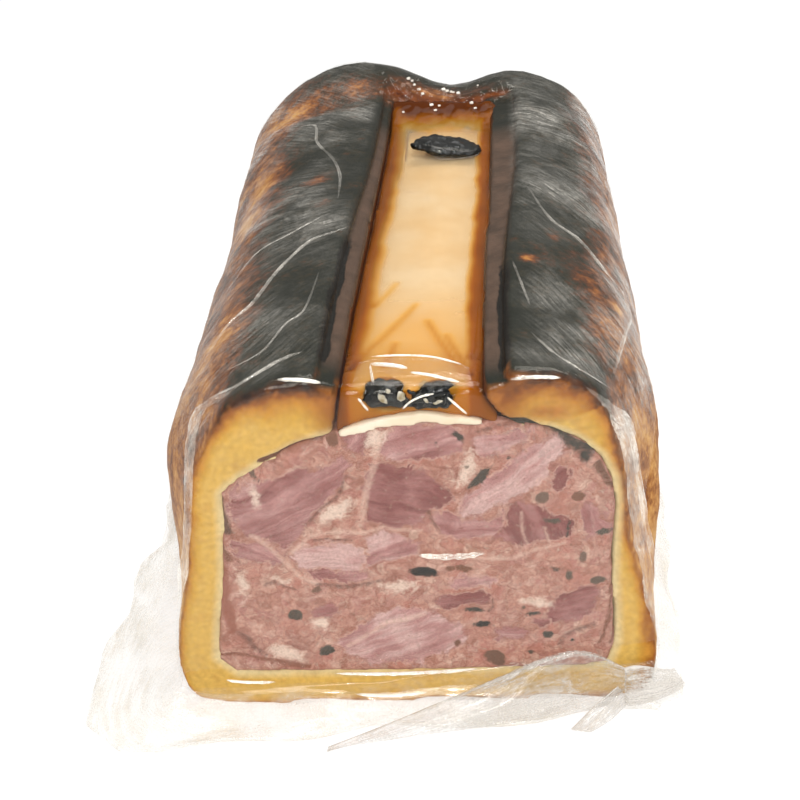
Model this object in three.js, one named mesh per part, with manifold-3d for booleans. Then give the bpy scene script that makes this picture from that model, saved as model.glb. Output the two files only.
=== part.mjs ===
// Half a pate en croute, cut across and sealed in a clear pouch.
// Millimetres, +Z up. The cut face looks towards -Y and the baked end is at +Y.

import * as THREE from 'three';
import { mergeVertices, toCreasedNormals } from 'three/addons/utils/BufferGeometryUtils.js';
import Module from 'manifold-3d';

const wasm = await Module();
wasm.setup();

const { smoothstep, lerp, clamp } = THREE.MathUtils;

// Loaf: straight sides, a flat base and a slightly domed top
const LENGTH = 178;
const HALF_WIDTH = 49.2;
const TOP = 79;
const LEFT_FOOT = { half: 39.6, radius: 8 };
const RIGHT_FOOT = { half: 44.2, radius: 6 };
const RIGHT_SIDE = [[HALF_WIDTH, 44], [47, 60], [39.5, 72.5], [28, 78], [16, TOP]];
const LEFT_SIDE = [[-16, TOP], [-28, 77.2], [-39, 71.5], [-47.6, 59.5], [-50.2, 45]];
const LOAF_SIDES = 62;

// Gap that neighbours keep, how far cutting tools overrun, and the angle that still looks smooth
const GAP = 0.3;
const TOOL_OVERRUN = 6;
const CREASE = Math.PI / 5;

// Film pressure pinches the upper front corners, and the cut runs a little askew
const PINCH_LEFT = { most: 6.2, low: 10, full: 42, reach: 19 };
const PINCH_RIGHT = { most: 8, low: 8, full: 50, reach: 27 };
const PINCH_FILLING = { most: 2.3, low: 10, full: 42, reach: 27 };
const PINCH_INNER = 28;
const CUT_SKEW = 3.4;

// Baked end: rounded over, with two raised lobes and a dip between them
const END_RADIUS = 16;
const END_SIDE = 9;
const END_DROP = 13;
const LOBE_START = 139;
const LOBE_FULL = 156;
const LOBE_LEFT = { x: -26, reach: 24, rise: 2.2 };
const LOBE_RIGHT = { x: 23, reach: 20, rise: 0.8 };
const LOBE_DIP = { x: 4.5, reach: 17, rise: -4.0 };
const TOP_LAYER = 60;

// The left side spreads out towards the baked end
const SPREAD_LEFT = { most: 2.8, from: 95, full: 140, inner: 24, low: 38, high: 64 };

// Each top flap stops short of the baked end, in a shallow valley
const FLAP_ENDS = [
  { x: -30, y: 144, reachX: 18, reachY: 10, depth: 3.0 },
  { x: 32, y: 130, reachX: 17, reachY: 8, depth: 1.6 },
];

// Baking leaves the top and sides gently uneven
const WAVE_HEIGHT = 0.45;
const WAVE_LENGTH = 47;
const WAVE_SIDE = 0.35;
const WAVE_TURN = 0.6;
const WAVE_SIDE_FULL = 42;

// Filling: a straight block with a dome, higher under the right flap
const FILLING_LENGTH = 166;
const FILLING_BASE = 10;
const FILLING_LEFT = -38.4;
const FILLING_RIGHT = 40.2;
const FILLING_CORNER = 3.5;
const DOME_X = 1.5;
const DOME_TOP = 69.4;
const DOME_FALL = 0.0125;
const WALL_TOP_RIGHT = [39.6, 53];
const DOME = [[35, 61], [25, 66.4], [DOME_X, DOME_TOP], [-15, 66.2], [-27, 60.8], [-37.2, 54]];
const FILLING_SIDES = 44;

// Groove along the top between the flaps, with a narrow ledge on either side
const GROOVE_LENGTH = 147;
const GROOVE_DRIFT = 3.2;
const GROOVE_WALL_LEAN = 0.55;
const GROOVE_WALL_FROM = 118;
const LEFT_LIP = -13.6;
const RIGHT_LIP = 11.0;
const LEDGE_LOW = 76.2;
const LEDGE_HIGH = 77.4;
const LEFT_LEDGE = 4.0;
const RIGHT_LEDGE = 5.0;
const LEFT_LEDGE_REAR = -1.6;
const RIGHT_LEDGE_REAR = 2.2;
const LEDGE_CHANGE = { from: 45, full: 110 };
const LEFT_UNDERCUT = { lip: 0.6, foot: 1.6 };
const RIGHT_UNDERCUT = { lip: 2.2, foot: 4.4 };
const UNDERCUT_LIP_HEIGHT = 72.6;
const UNDERCUT_FOOT_HEIGHT = 69.8;
const ABOVE_TOP = 92;

// Strip of barding fat on the dome, and the jelly poured over it
const FAT_THICKNESS = 1.45;
const FAT_LENGTH = 145;
const FAT_LEFT = -14.0;
const FAT_RIGHT = 15.0;
const FAT_EDGE = 0.45;
const FAT_RIPPLE = 0.15;
const FAT_SIDES = 12;
const JELLY_FRONT = 76.8;
const JELLY_LEVEL = 73.0;
const JELLY_SAG = 0.8;
const JELLY_SLOPE_REACH = 24;
const JELLY_FLOOR = 61;
const JELLY_DISH = 0.5;
const JELLY_SIDES = 6;

// Black mushroom pieces: two cut through at the front and one lying near the back
const MUSHROOMS = [
  { name: 'mushroom_front_left', at: [-5.3, 1.6, 74.0], size: [4.1, 4.0, 2.3], turn: 0.15 },
  { name: 'mushroom_front_right', at: [3.3, 1.8, 73.9], size: [3.9, 3.8, 1.9], turn: -0.1 },
  { name: 'mushroom_back', at: [4.3, 121.8, 73.9], size: [9.2, 5.4, 1.6], turn: 0.12 },
];
const MUSHROOM_LUMPS = 0.065;
const MUSHROOM_DETAIL = 3;

// Free margin of the pouch: it leaves the crust part way up and spreads on the table
const FILM_THICKNESS = 0.7;
const FILM_CLEARANCE = 2.0;
const FILM_FRONT_CORNER = 4.5;
const FILM_BACK_CORNER = 12;
const FILM_SEGMENTS = 116;
const FILM_STEPS = 5;
const FILM_LEAVES = { left: 40, right: 40, back: 32, frontLeft: 4, frontRight: 10 };
const FILM_REACH = { left: 12, right: 6.7, back: 11, frontLeft: 9, frontRight: 4 };
const FILM_RISE_REACH = 46;
const FILM_CORNER_FLAP = { x: -9, y: -1, reach: 40 };
const FILM_HANG = 2.1;
const FILM_RIPPLE = 1.6;
const FILM_FLUTTER = 0.16;
const FILM_WAVES = { broad: 11, fine: 23, ripple: 17 };

// Colours seen through the film
const COLOURS = {
  crust: 0xb87a35,
  filling: 0xb9828a,
  barding_fat: 0xeadfce,
  jelly: 0xc98b3c,
  mushroom: 0x23211d,
  pouch_film: 0xf2f0ec,
};

// A smooth hill of height 1 at the centre, gone at the reach
function hill(value, centre, reach) {
  const along = Math.min(Math.abs(value - centre) / reach, 1);
  return 0.5 + 0.5 * Math.cos(Math.PI * along);
}

// How far the askew cut moves a point along the loaf, fading out at the baked end
function cutShift(x, y) {
  return CUT_SKEW * (x / HALF_WIDTH) * (1 - clamp(y / LENGTH, 0, 1));
}

// How far the film pinches a height of the loaf, fading out behind the cut
function pinchAt(pinch, y, z) {
  return pinch.most * smoothstep(z, pinch.low, pinch.full) * (1 - smoothstep(y, 0, pinch.reach));
}

// Where a point of the straight loaf ends up: pinched, baked uneven and rounded at the end
function settleLoaf(x, y, z) {
  const side = Math.sign(x);
  const pinch = pinchAt(side < 0 ? PINCH_LEFT : PINCH_RIGHT, y, z)
    * smoothstep(Math.abs(x), PINCH_INNER, HALF_WIDTH);
  const spread = SPREAD_LEFT.most
    * smoothstep(-x, SPREAD_LEFT.inner, HALF_WIDTH)
    * smoothstep(y, SPREAD_LEFT.from, SPREAD_LEFT.full)
    * smoothstep(z, SPREAD_LEFT.low, SPREAD_LEFT.high);

  const intoEnd = clamp((y - LENGTH + END_RADIUS) / END_RADIUS, 0, 1);
  const rounding = 1 - Math.sqrt(1 - intoEnd * intoEnd);
  const raised = smoothstep(z, TOP_LAYER, TOP);
  const lobes = [LOBE_LEFT, LOBE_RIGHT, LOBE_DIP]
    .reduce((sum, lobe) => sum + lobe.rise * hill(x, lobe.x, lobe.reach), 0);
  const valleys = FLAP_ENDS
    .reduce((sum, end) => sum + end.depth * hill(x, end.x, end.reachX) * hill(y, end.y, end.reachY), 0);
  const wave = Math.sin(2 * Math.PI * (y + WAVE_TURN * x) / WAVE_LENGTH);
  const sideWave = Math.sin(2 * Math.PI * (y - WAVE_TURN * z) / WAVE_LENGTH);

  const across = x - side * pinch - spread
    - side * END_SIDE * rounding * Math.abs(x) / HALF_WIDTH
    - side * WAVE_SIDE * (1 + sideWave) * smoothstep(z, 0, WAVE_SIDE_FULL);
  const lift = (lobes * smoothstep(y, LOBE_START, LOBE_FULL) - valleys + WAVE_HEIGHT * wave) * raised;
  return new THREE.Vector3(across, y + cutShift(across, y), z + lift - END_DROP * rounding * z / TOP);
}

// The softer filling gives way less than the crust does
function settleFilling(x, y, z) {
  const pinch = pinchAt(PINCH_FILLING, y, z) * (x / FILLING_RIGHT);
  return new THREE.Vector3(x - pinch, y + cutShift(x - pinch, y), z);
}

// The groove drifts to the right towards the back, its ledges change width and its end wall leans outwards
function settleGroove(x, y, z) {
  const drift = GROOVE_DRIFT * smoothstep(y, 0, GROOVE_LENGTH);
  const onLedge = z > (LEDGE_LOW + LEDGE_HIGH) / 2 ? 1 : 0;
  const change = onLedge * smoothstep(y, LEDGE_CHANGE.from, LEDGE_CHANGE.full);
  const wider = change * (x < 0 ? -LEFT_LEDGE_REAR : RIGHT_LEDGE_REAR);
  const lean = GROOVE_WALL_LEAN * (z - JELLY_LEVEL) * smoothstep(y, GROOVE_WALL_FROM, GROOVE_LENGTH);
  const across = x + drift + wider;
  return new THREE.Vector3(across, y + cutShift(across, y) + lean, z);
}

// The jelly stands higher at the cut, where the film draws it up
function settleJelly(x, y, z) {
  const sagged = JELLY_LEVEL - JELLY_SAG * hill(y, GROOVE_LENGTH / 2, GROOVE_LENGTH / 2);
  const level = lerp(JELLY_FRONT, sagged, smoothstep(y, 0, JELLY_SLOPE_REACH));
  const part = (z - JELLY_FLOOR) / (JELLY_LEVEL - JELLY_FLOOR);
  return settleGroove(x, y, lerp(JELLY_FLOOR, level, part));
}

// Points in a plane from pairs of numbers
function plane(pairs) {
  return pairs.map(([x, z]) => new THREE.Vector2(x, z));
}

// Closed outline of the loaf, counter-clockwise from the left foot
function loafOutline() {
  const shape = new THREE.Shape();
  const leftLow = LEFT_FOOT.half + LEFT_FOOT.radius;
  const rightLow = RIGHT_FOOT.half + RIGHT_FOOT.radius;
  shape.moveTo(-LEFT_FOOT.half, 0);
  shape.lineTo(RIGHT_FOOT.half, 0);
  shape.quadraticCurveTo(rightLow, 0, rightLow, RIGHT_FOOT.radius);
  shape.splineThru(plane([...RIGHT_SIDE, ...LEFT_SIDE, [-leftLow, LEFT_FOOT.radius]]));
  shape.quadraticCurveTo(-leftLow, 0, -LEFT_FOOT.half, 0);
  return shape.getSpacedPoints(LOAF_SIDES);
}

// Height of the dome where the fat lies on it
function domeHeight(x) {
  return DOME_TOP - DOME_FALL * (x - DOME_X) ** 2;
}

// Moves every point of a counter-clockwise outline outwards
function grown(outline, grow) {
  const closed = outline[0].distanceTo(outline[outline.length - 1]) < GAP / 10;
  const points = closed ? outline.slice(0, -1) : outline;
  return points.map((point, i) => {
    const before = points[(i + points.length - 1) % points.length];
    const after = points[(i + 1) % points.length];
    const along = after.clone().sub(before).normalize();
    return new THREE.Vector2(point.x + grow * along.y, point.y - grow * along.x);
  });
}

// Closed outline of the filling
function fillingOutline() {
  const left = FILLING_LEFT;
  const right = FILLING_RIGHT;
  const base = FILLING_BASE;
  const corner = FILLING_CORNER;
  const shape = new THREE.Shape();
  shape.moveTo(left + corner, base);
  shape.lineTo(right - corner, base);
  shape.quadraticCurveTo(right, base, right, base + corner);
  shape.lineTo(...WALL_TOP_RIGHT);
  shape.splineThru(plane(DOME));
  shape.lineTo(left, base + corner);
  shape.quadraticCurveTo(left, base, left + corner, base);
  return shape.getSpacedPoints(FILLING_SIDES);
}

// Outline of the groove, open to the sky: ledges, undercut lips and a floor inside the filling
function grooveOutline() {
  const left = LEFT_LIP;
  const right = RIGHT_LIP;
  const floor = JELLY_FLOOR - 1;
  return plane([
    [left - LEFT_LEDGE, ABOVE_TOP],
    [left - LEFT_LEDGE, LEDGE_HIGH],
    [left, LEDGE_LOW],
    [left - LEFT_UNDERCUT.lip, UNDERCUT_LIP_HEIGHT],
    [left - LEFT_UNDERCUT.foot, floor],
    [right + RIGHT_UNDERCUT.foot, floor],
    [right + RIGHT_UNDERCUT.foot, UNDERCUT_FOOT_HEIGHT],
    [right + RIGHT_UNDERCUT.lip, UNDERCUT_LIP_HEIGHT],
    [right, LEDGE_LOW],
    [right + RIGHT_LEDGE, LEDGE_HIGH],
    [right + RIGHT_LEDGE, ABOVE_TOP],
  ]);
}

// Outline of the poured jelly, wider than the groove, with a slightly dished surface
function jellyOutline() {
  const left = LEFT_LIP - LEFT_LEDGE;
  const right = RIGHT_LIP + RIGHT_LEDGE;
  const surface = spaced(1, -1, JELLY_SIDES).map((side) => {
    const x = lerp(left, right, 0.5 + 0.5 * side);
    return [x, JELLY_LEVEL - JELLY_DISH * (1 - side * side)];
  });
  return plane([[left, JELLY_FLOOR], [right, JELLY_FLOOR], ...surface]);
}

// Outline of the fat strip, thinning to both edges and reaching down into the dome
function fatOutline() {
  const under = spaced(FAT_LEFT, FAT_RIGHT, FAT_SIDES).map((x) => [x, domeHeight(x) - FAT_THICKNESS]);
  const over = spaced(1, 0, FAT_SIDES).map((part) => {
    const x = lerp(FAT_LEFT, FAT_RIGHT, part);
    const thickness = FAT_THICKNESS * lerp(FAT_EDGE, 1, Math.sin(Math.PI * part));
    return [x, domeHeight(x) + thickness + FAT_RIPPLE * Math.sin(5 * Math.PI * part)];
  });
  return plane([...under, ...over]);
}

// Carries an outline in X and Z from the back station to the front one, through a settling rule
function loft(outline, stations, settle) {
  const shape = new THREE.Shape(outline);
  const steps = stations.length - 1;
  const geometry = new THREE.ExtrudeGeometry(shape, { depth: 1, steps, bevelEnabled: false });
  const position = geometry.getAttribute('position');
  for (let i = 0; i < position.count; i += 1) {
    const y = stations[steps - Math.round(position.getZ(i) * steps)];
    const settled = settle(position.getX(i), y, position.getY(i));
    position.setXYZ(i, settled.x, settled.y, settled.z);
  }
  return geometry;
}

// Evenly spaced places from one end to the other
function spaced(from, to, steps) {
  return Array.from({ length: steps + 1 }, (_, i) => lerp(from, to, i / steps));
}

// A closed geometry as a solid that can be joined and cut
function solid(geometry) {
  geometry.deleteAttribute('normal');
  geometry.deleteAttribute('uv');
  const merged = mergeVertices(geometry, 1e-4);
  return new wasm.Manifold(new wasm.Mesh({
    numProp: 3,
    vertProperties: new Float32Array(merged.getAttribute('position').array),
    triVerts: new Uint32Array(merged.getIndex().array),
  }));
}

// A solid's largest body as a named mesh
function mesh(name, body, settings) {
  const bodies = body.decompose().sort((a, b) => b.volume() - a.volume());
  const { vertProperties, triVerts } = bodies[0].getMesh();
  const geometry = new THREE.BufferGeometry();
  geometry.setAttribute('position', new THREE.BufferAttribute(new Float32Array(vertProperties), 3));
  geometry.setIndex(new THREE.BufferAttribute(new Uint32Array(triVerts), 1));
  const material = new THREE.MeshStandardMaterial(settings);
  const part = new THREE.Mesh(toCreasedNormals(geometry, CREASE), material);
  part.name = name;
  return part;
}

// The loaf's outer form: closer stations at the pinched front and round the baked end
function loafBlock() {
  const endAngles = spaced(0, Math.PI / 2, 6);
  const stations = [
    0, 5, 11, 18, PINCH_RIGHT.reach,
    ...spaced(42, 117, 5),
    ...spaced(124, LENGTH - END_RADIUS - 4, 8),
    ...endAngles.map((angle) => LENGTH - END_RADIUS + END_RADIUS * Math.sin(angle)),
  ];
  return solid(loft(loafOutline(), stations, settleLoaf));
}

// Stations of a piece that is flush with the cut, or of the wider tool that cuts its bed
function fromCut(grow, stations) {
  return grow > 0 ? [-TOOL_OVERRUN, ...stations] : stations;
}

function fillingBlock(grow) {
  const stations = fromCut(grow, [0, 9, 18, PINCH_FILLING.reach, ...spaced(60, FILLING_LENGTH + grow, 4)]);
  return solid(loft(grown(fillingOutline(), grow), stations, settleFilling));
}

function grooveBlock(grow) {
  const stations = fromCut(grow, spaced(0, GROOVE_LENGTH + grow, 12));
  return solid(loft(grown(grooveOutline(), grow), stations, settleGroove));
}

function fatStrip(grow) {
  const stations = fromCut(grow, spaced(0, FAT_LENGTH + grow, 10));
  return solid(loft(grown(fatOutline(), grow), stations, settleGroove));
}

function jellyBlock() {
  const stations = [0, 6, 12, 18, JELLY_SLOPE_REACH, ...spaced(42, GROOVE_LENGTH + TOOL_OVERRUN, 6)];
  return solid(loft(jellyOutline(), stations, settleJelly)).intersect(grooveBlock(-GAP));
}

// Everything behind the askew cut near the groove
function behindCut() {
  const outline = plane([
    [-HALF_WIDTH, 0],
    [HALF_WIDTH, 0],
    [HALF_WIDTH, ABOVE_TOP],
    [-HALF_WIDTH, ABOVE_TOP],
  ]);
  return solid(loft(outline, [0, LENGTH], (x, y, z) => new THREE.Vector3(x, y + cutShift(x, y), z)));
}

// A lumpy flattened ball, grown outwards to cut its bed in the jelly
function mushroomPiece({ at, size, turn }, grow) {
  const geometry = new THREE.IcosahedronGeometry(1, MUSHROOM_DETAIL);
  const position = geometry.getAttribute('position');
  const point = new THREE.Vector3();
  const radii = new THREE.Vector3(...size).addScalar(grow);
  const centre = new THREE.Vector3(...at);
  for (let i = 0; i < position.count; i += 1) {
    point.fromBufferAttribute(position, i);
    const folds = Math.sin(3 * point.x + at[0]) * Math.cos(4 * point.y + at[1]);
    const lumps = folds + Math.sin(5 * point.x * point.y);
    point.multiplyScalar(1 + MUSHROOM_LUMPS * lumps);
    point.multiply(radii).applyAxisAngle(new THREE.Vector3(0, 1, 0), turn).add(centre);
    position.setXYZ(i, point.x, point.y, point.z);
  }
  return solid(geometry).intersect(behindCut());
}

// Path that the film leaves the crust from, seen from above, counter-clockwise
function filmFoot() {
  const left = -HALF_WIDTH - FILM_CLEARANCE;
  const right = RIGHT_FOOT.half + RIGHT_FOOT.radius + FILM_CLEARANCE;
  const front = -FILM_CLEARANCE;
  const back = LENGTH + FILM_CLEARANCE;
  const path = new THREE.Path();
  const near = FILM_FRONT_CORNER;
  const far = FILM_BACK_CORNER;
  path.moveTo(left + near, front);
  path.lineTo(right - near, front);
  path.absarc(right - near, front + near, near, -Math.PI / 2, 0, false);
  path.absarc(right - far, back - far, far, 0, Math.PI / 2, false);
  path.absarc(left + far, back - far, far, Math.PI / 2, Math.PI, false);
  path.absarc(left + near, front + near, near, Math.PI, 1.5 * Math.PI, false);
  return path.getSpacedPoints(FILM_SEGMENTS);
}

// Blends the film's values for the sides, front and back, rising from the front along each side
function filmValue(values, facing, foot) {
  const front = lerp(values.frontLeft, values.frontRight, smoothstep(foot.x, -HALF_WIDTH, HALF_WIDTH));
  const side = facing.x < 0 ? values.left : values.right;
  const rising = lerp(front, side, smoothstep(foot.y, 0, FILM_RISE_REACH));
  const end = facing.y < 0 ? front : values.back;
  return rising * facing.x ** 2 + end * facing.y ** 2;
}

// A thin wavy skirt of film: its section hangs from the crust to the table, right round the loaf
function filmSkirt() {
  const foot = filmFoot();
  const ringSize = 2 * (FILM_STEPS + 1);
  const profile = Array.from({ length: ringSize + 1 }, () => new THREE.Vector2(1, 0));
  const geometry = new THREE.LatheGeometry(profile, FILM_SEGMENTS);
  const position = geometry.getAttribute('position');
  const flapCorner = new THREE.Vector2(-HALF_WIDTH, 0);

  for (let i = 0; i <= FILM_SEGMENTS; i += 1) {
    const turn = i % FILM_SEGMENTS;
    const here = foot[turn];
    const before = foot[(turn + FILM_SEGMENTS - 1) % FILM_SEGMENTS];
    const after = foot[(turn + 1) % FILM_SEGMENTS];
    const facing = new THREE.Vector2(after.y - before.y, before.x - after.x).normalize();
    const swing = 2 * Math.PI * turn / FILM_SEGMENTS;
    const flutter = Math.sin(FILM_WAVES.broad * swing) + 0.6 * Math.sin(FILM_WAVES.fine * swing + 1);
    const flap = hill(here.distanceTo(flapCorner), 0, FILM_CORNER_FLAP.reach);
    const reach = filmValue(FILM_REACH, facing, here) * (1 + FILM_FLUTTER * flutter);
    const height = filmValue(FILM_LEAVES, facing, here) * (1 + 0.5 * FILM_FLUTTER * flutter);

    for (let j = 0; j <= ringSize; j += 1) {
      const k = j % ringSize;
      const upper = k > FILM_STEPS;
      const part = (upper ? ringSize - 1 - k : k) / FILM_STEPS;
      const out = reach * part;
      const ripple = FILM_RIPPLE * part * (0.5 + 0.5 * Math.sin(FILM_WAVES.ripple * swing + 5 * part));
      const z = height * (1 - part) ** FILM_HANG + ripple + (upper ? FILM_THICKNESS : 0);
      const outer = out + (upper ? FILM_THICKNESS * (1 - part) : 0);
      const x = here.x + facing.x * outer + FILM_CORNER_FLAP.x * flap * part;
      const y = here.y + facing.y * outer + FILM_CORNER_FLAP.y * flap * part;
      position.setXYZ(i * (ringSize + 1) + j, x, y + cutShift(x, y), z);
    }
  }
  return solid(geometry);
}

function buildPate() {
  const pate = new THREE.Group();
  const filling = fillingBlock(0);
  const bed = fillingBlock(GAP);
  const crust = loafBlock().subtract(bed).subtract(fatStrip(GAP)).subtract(grooveBlock(GAP));
  let jelly = jellyBlock().subtract(bed).subtract(fatStrip(GAP));
  for (const piece of MUSHROOMS) {
    jelly = jelly.subtract(mushroomPiece(piece, GAP));
  }

  pate.add(mesh('crust', crust, { color: COLOURS.crust, roughness: 0.6 }));
  pate.add(mesh('filling', filling, { color: COLOURS.filling, roughness: 0.45 }));
  pate.add(mesh('barding_fat', fatStrip(0).subtract(bed), { color: COLOURS.barding_fat, roughness: 0.5 }));
  pate.add(mesh('jelly', jelly, { color: COLOURS.jelly, roughness: 0.12, transparent: true, opacity: 0.7 }));
  for (const piece of MUSHROOMS) {
    pate.add(mesh(piece.name, mushroomPiece(piece, 0), { color: COLOURS.mushroom, roughness: 0.35 }));
  }
  pate.add(mesh('pouch_film', filmSkirt(), {
    color: COLOURS.pouch_film, roughness: 0.12, transparent: true, opacity: 0.35,
  }));

  // The origin is under the middle of the whole pack, on the table
  const box = new THREE.Box3().setFromObject(pate);
  const middle = box.getCenter(new THREE.Vector3());
  pate.position.set(-middle.x, -middle.y, -box.min.z);
  return pate;
}

export default buildPate();
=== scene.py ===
"""Looks of a cut pate en croute in its clear vacuum pouch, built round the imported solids.

Shapes are worked in millimetres in the loaf's own frame: x to the right, y from the cut face to the
baked end, z up from the table. The finished meshes are then placed in the row frame, in metres.
"""
import math

import bmesh
import bpy
from mathutils import Matrix, Vector, noise
from mathutils.bvhtree import BVHTree


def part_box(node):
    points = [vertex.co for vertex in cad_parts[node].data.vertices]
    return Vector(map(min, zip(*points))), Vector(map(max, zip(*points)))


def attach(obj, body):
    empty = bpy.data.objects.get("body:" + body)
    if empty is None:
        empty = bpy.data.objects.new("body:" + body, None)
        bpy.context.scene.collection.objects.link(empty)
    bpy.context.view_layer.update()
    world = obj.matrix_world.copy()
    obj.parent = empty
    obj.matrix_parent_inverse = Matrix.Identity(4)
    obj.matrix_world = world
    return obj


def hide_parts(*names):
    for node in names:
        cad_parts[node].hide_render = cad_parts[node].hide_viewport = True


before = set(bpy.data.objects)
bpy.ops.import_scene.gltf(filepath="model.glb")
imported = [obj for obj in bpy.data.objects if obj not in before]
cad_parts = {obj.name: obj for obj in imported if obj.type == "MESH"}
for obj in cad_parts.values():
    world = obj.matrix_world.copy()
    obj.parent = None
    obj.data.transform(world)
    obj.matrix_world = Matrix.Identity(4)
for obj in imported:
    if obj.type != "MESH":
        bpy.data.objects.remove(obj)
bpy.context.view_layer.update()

# Sizes of the loaf, in millimetres
LOAF_LENGTH = 178.0
HALF_WIDTH = 49.2
CUT_SKEW = 3.4
HEART_HEIGHT = 40.0
FILLING_MIDDLE = 0.9
GROOVE_LENGTH = 147.0
GROOVE_DRIFT = 3.2
LEFT_LIP = -13.6
RIGHT_LIP = 11.0
FOOD = ("crust", "filling", "barding_fat", "jelly", "mushroom_front_left", "mushroom_front_right",
        "mushroom_back")

# Mesh grain, small offsets and thicknesses, in millimetres
CRUST_VOXEL = 1.7
MEAT_VOXEL = 0.6
MEAT_SLAB = 7.0
MEAT_JOIN = 5.0
MEAT_SPREAD = 1.3
MEAT_SINK = 0.6
FAT_VOXEL = 0.5
FAT_SINK = 0.6
JELLY_VOXEL = 0.7
JELLY_SINK = 2.0
MUSHROOM_VOXEL = 0.35
FILM_VOXEL = 1.5
FILM_OFF = 0.45
FILM_IN = -1.0
FILM_THICKNESS = 0.12
FLOOR_DROP = 0.15
# A height clear of the loaf, from which rays look down, in millimetres
ABOVE_LOAF = 120.0
# Points of a copied solid that lie closer than this are one, in metres
MERGE = 1e-6

UP = Vector((0.0, 0.0, 1.0))
FRONT = Vector((0.0, -1.0, 0.0))

meat_low, meat_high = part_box("filling")
_, crust_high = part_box("crust")
LOAF_ORIGIN = Vector(((meat_low.x + meat_high.x) / 2 - FILLING_MIDDLE / 1000,
                      crust_high.y - LOAF_LENGTH / 1000, 0.0))
TO_ROW = Matrix.Translation(LOAF_ORIGIN) @ Matrix.Scale(0.001, 4)
TO_LOAF = TO_ROW.inverted()

# Pressed ham on the cut face: outline in x and z, turn of its fibres in degrees, depth of pink
HAM = [
    ([(-34.6, 53.5), (-31, 56), (-26, 56.5), (-22, 59.5), (-17, 59.5), (-13.5, 62), (-11.5, 60),
      (-13.5, 55.5), (-17, 51), (-19.5, 47.5), (-22, 43.5), (-24.5, 40.5), (-28.5, 42.5), (-32.5, 44),
      (-34.3, 48)], 30, 0.6),
    ([(-34, 43), (-30, 42.3), (-26, 39.8), (-25, 37), (-29.5, 36.8), (-34, 39)], -30, 0.6),
    ([(-13.6, 66.8), (-11, 68.3), (-8.3, 67.5), (-8, 64.5), (-10, 61.8), (-12.8, 62.8)], 60, 0.8),
    ([(-6.3, 62.5), (-5.3, 67), (-3, 68.7), (2, 68.4), (6, 69), (9.3, 66.5), (8.6, 62.5), (4, 60.8),
      (0, 60), (-5, 61)], 20, 0.5),
    ([(-8.6, 60.3), (-5, 60.5), (0.5, 58.9), (3.3, 56.2), (7.6, 53.6), (7.8, 51.6), (4.2, 50.4), (1.9, 48),
      (1.4, 45.6), (-4, 45.2), (-9.4, 46.6), (-9.7, 51)], -15, 0.95),
    ([(9.4, 50.5), (11.8, 54.8), (14.5, 57.8), (19, 61), (22, 64.3), (25.5, 65), (27.6, 62), (24.8, 58.8),
      (23.2, 54.8), (20, 52), (16.8, 49.6), (12.5, 47.6), (8, 47.2)], 45, 0.08),
    ([(10.8, 65.5), (16, 66.3), (20.5, 67), (20.5, 64.5), (16, 62), (12, 60.5), (10.5, 62)], 10, 0.35),
    ([(2.9, 47.5), (6, 49.6), (9.3, 47), (14.5, 46.8), (17, 48.6), (17.8, 45.5), (15.3, 42.6), (10, 42.2),
      (5.5, 43.6)], -5, 0.45),
    ([(17.6, 49), (20.3, 51), (24, 50.5), (27, 47.5), (30.2, 46), (29.8, 42.8), (25, 41.6), (20, 40.6),
      (15.8, 42), (17.9, 45.5)], -65, 0.95),
    ([(24.8, 57.5), (26.5, 59), (28.7, 58), (29, 55.6), (27, 53.9), (25, 55)], 30, 0.75),
    ([(31.5, 49.5), (33.6, 51), (36.2, 48), (36.4, 43), (33.2, 42), (32, 45)], -80, 0.6),
    ([(-24, 38.6), (-20, 41.4), (-15, 42), (-10.2, 41), (-9.4, 37.6), (-10, 35.6), (-14, 34.8), (-19, 35.2),
      (-22.2, 36.3)], 0, 0.05),
    ([(-21, 35), (-14, 34.6), (-9.8, 35.4), (-8.6, 33.4), (-13, 32), (-18.5, 32.2)], 5, 0.6),
    ([(-9.6, 43.8), (-6, 44.4), (-2, 43.2), (1.2, 41.6), (-0.5, 38.6), (-4, 36.6), (-8.8, 36.2)], 20, 0.3),
    ([(-15, 17), (-11.5, 21.3), (-6, 24.6), (0, 25.6), (4, 24.4), (9, 21.2), (10.6, 17), (7, 13.6),
      (0, 11.6), (-8, 11.4), (-13, 13)], 25, 0.25),
    ([(4, 26.6), (6.5, 29), (10.5, 29.6), (15, 29), (15.6, 27), (11, 26), (8, 25)], 10, 1.0),
    ([(6, 31.5), (9, 33.4), (14, 33), (17, 31.4), (13, 30.4), (8, 30)], 0, 0.2),
    ([(27, 24.5), (29.5, 28.5), (33, 30.5), (36.4, 30), (36.4, 25), (33, 21.6), (28.6, 20.8), (26, 22)],
     15, 0.8),
    ([(23.6, 22.4), (27.4, 22.8), (28, 21), (25, 20.4)], 0, 0.8),
    ([(-20.6, 25), (-16.5, 26.6), (-14.4, 25), (-15.4, 22.8), (-19.5, 22.6)], 0, 0.85),
    ([(16, 19.5), (20, 20.4), (24, 19.5), (22.5, 16.8), (17, 16.8)], 0, 0.55),
]
# White fat on the cut face: x, z, half width, half height, turn in degrees
WHITE_FAT = [
    (-14.8, 49.2, 3.6, 2.0, 40),
    (-7.4, 65.4, 1.6, 2.6, -15),
    (-33.2, 32.3, 1.1, 2.6, 8),
    (-18.6, 21.4, 1.9, 1.2, 0),
    (-25.0, 13.9, 3.4, 1.5, -15),
    (-3.0, 30.8, 3.3, 1.4, 0),
    (24.6, 26.2, 3.0, 1.3, -5),
    (9.7, 58.8, 1.4, 3.6, -15),
    (-30.2, 53.5, 0.8, 1.8, 10),
    (-25.3, 32.6, 1.7, 0.6, -25),
]
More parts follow.
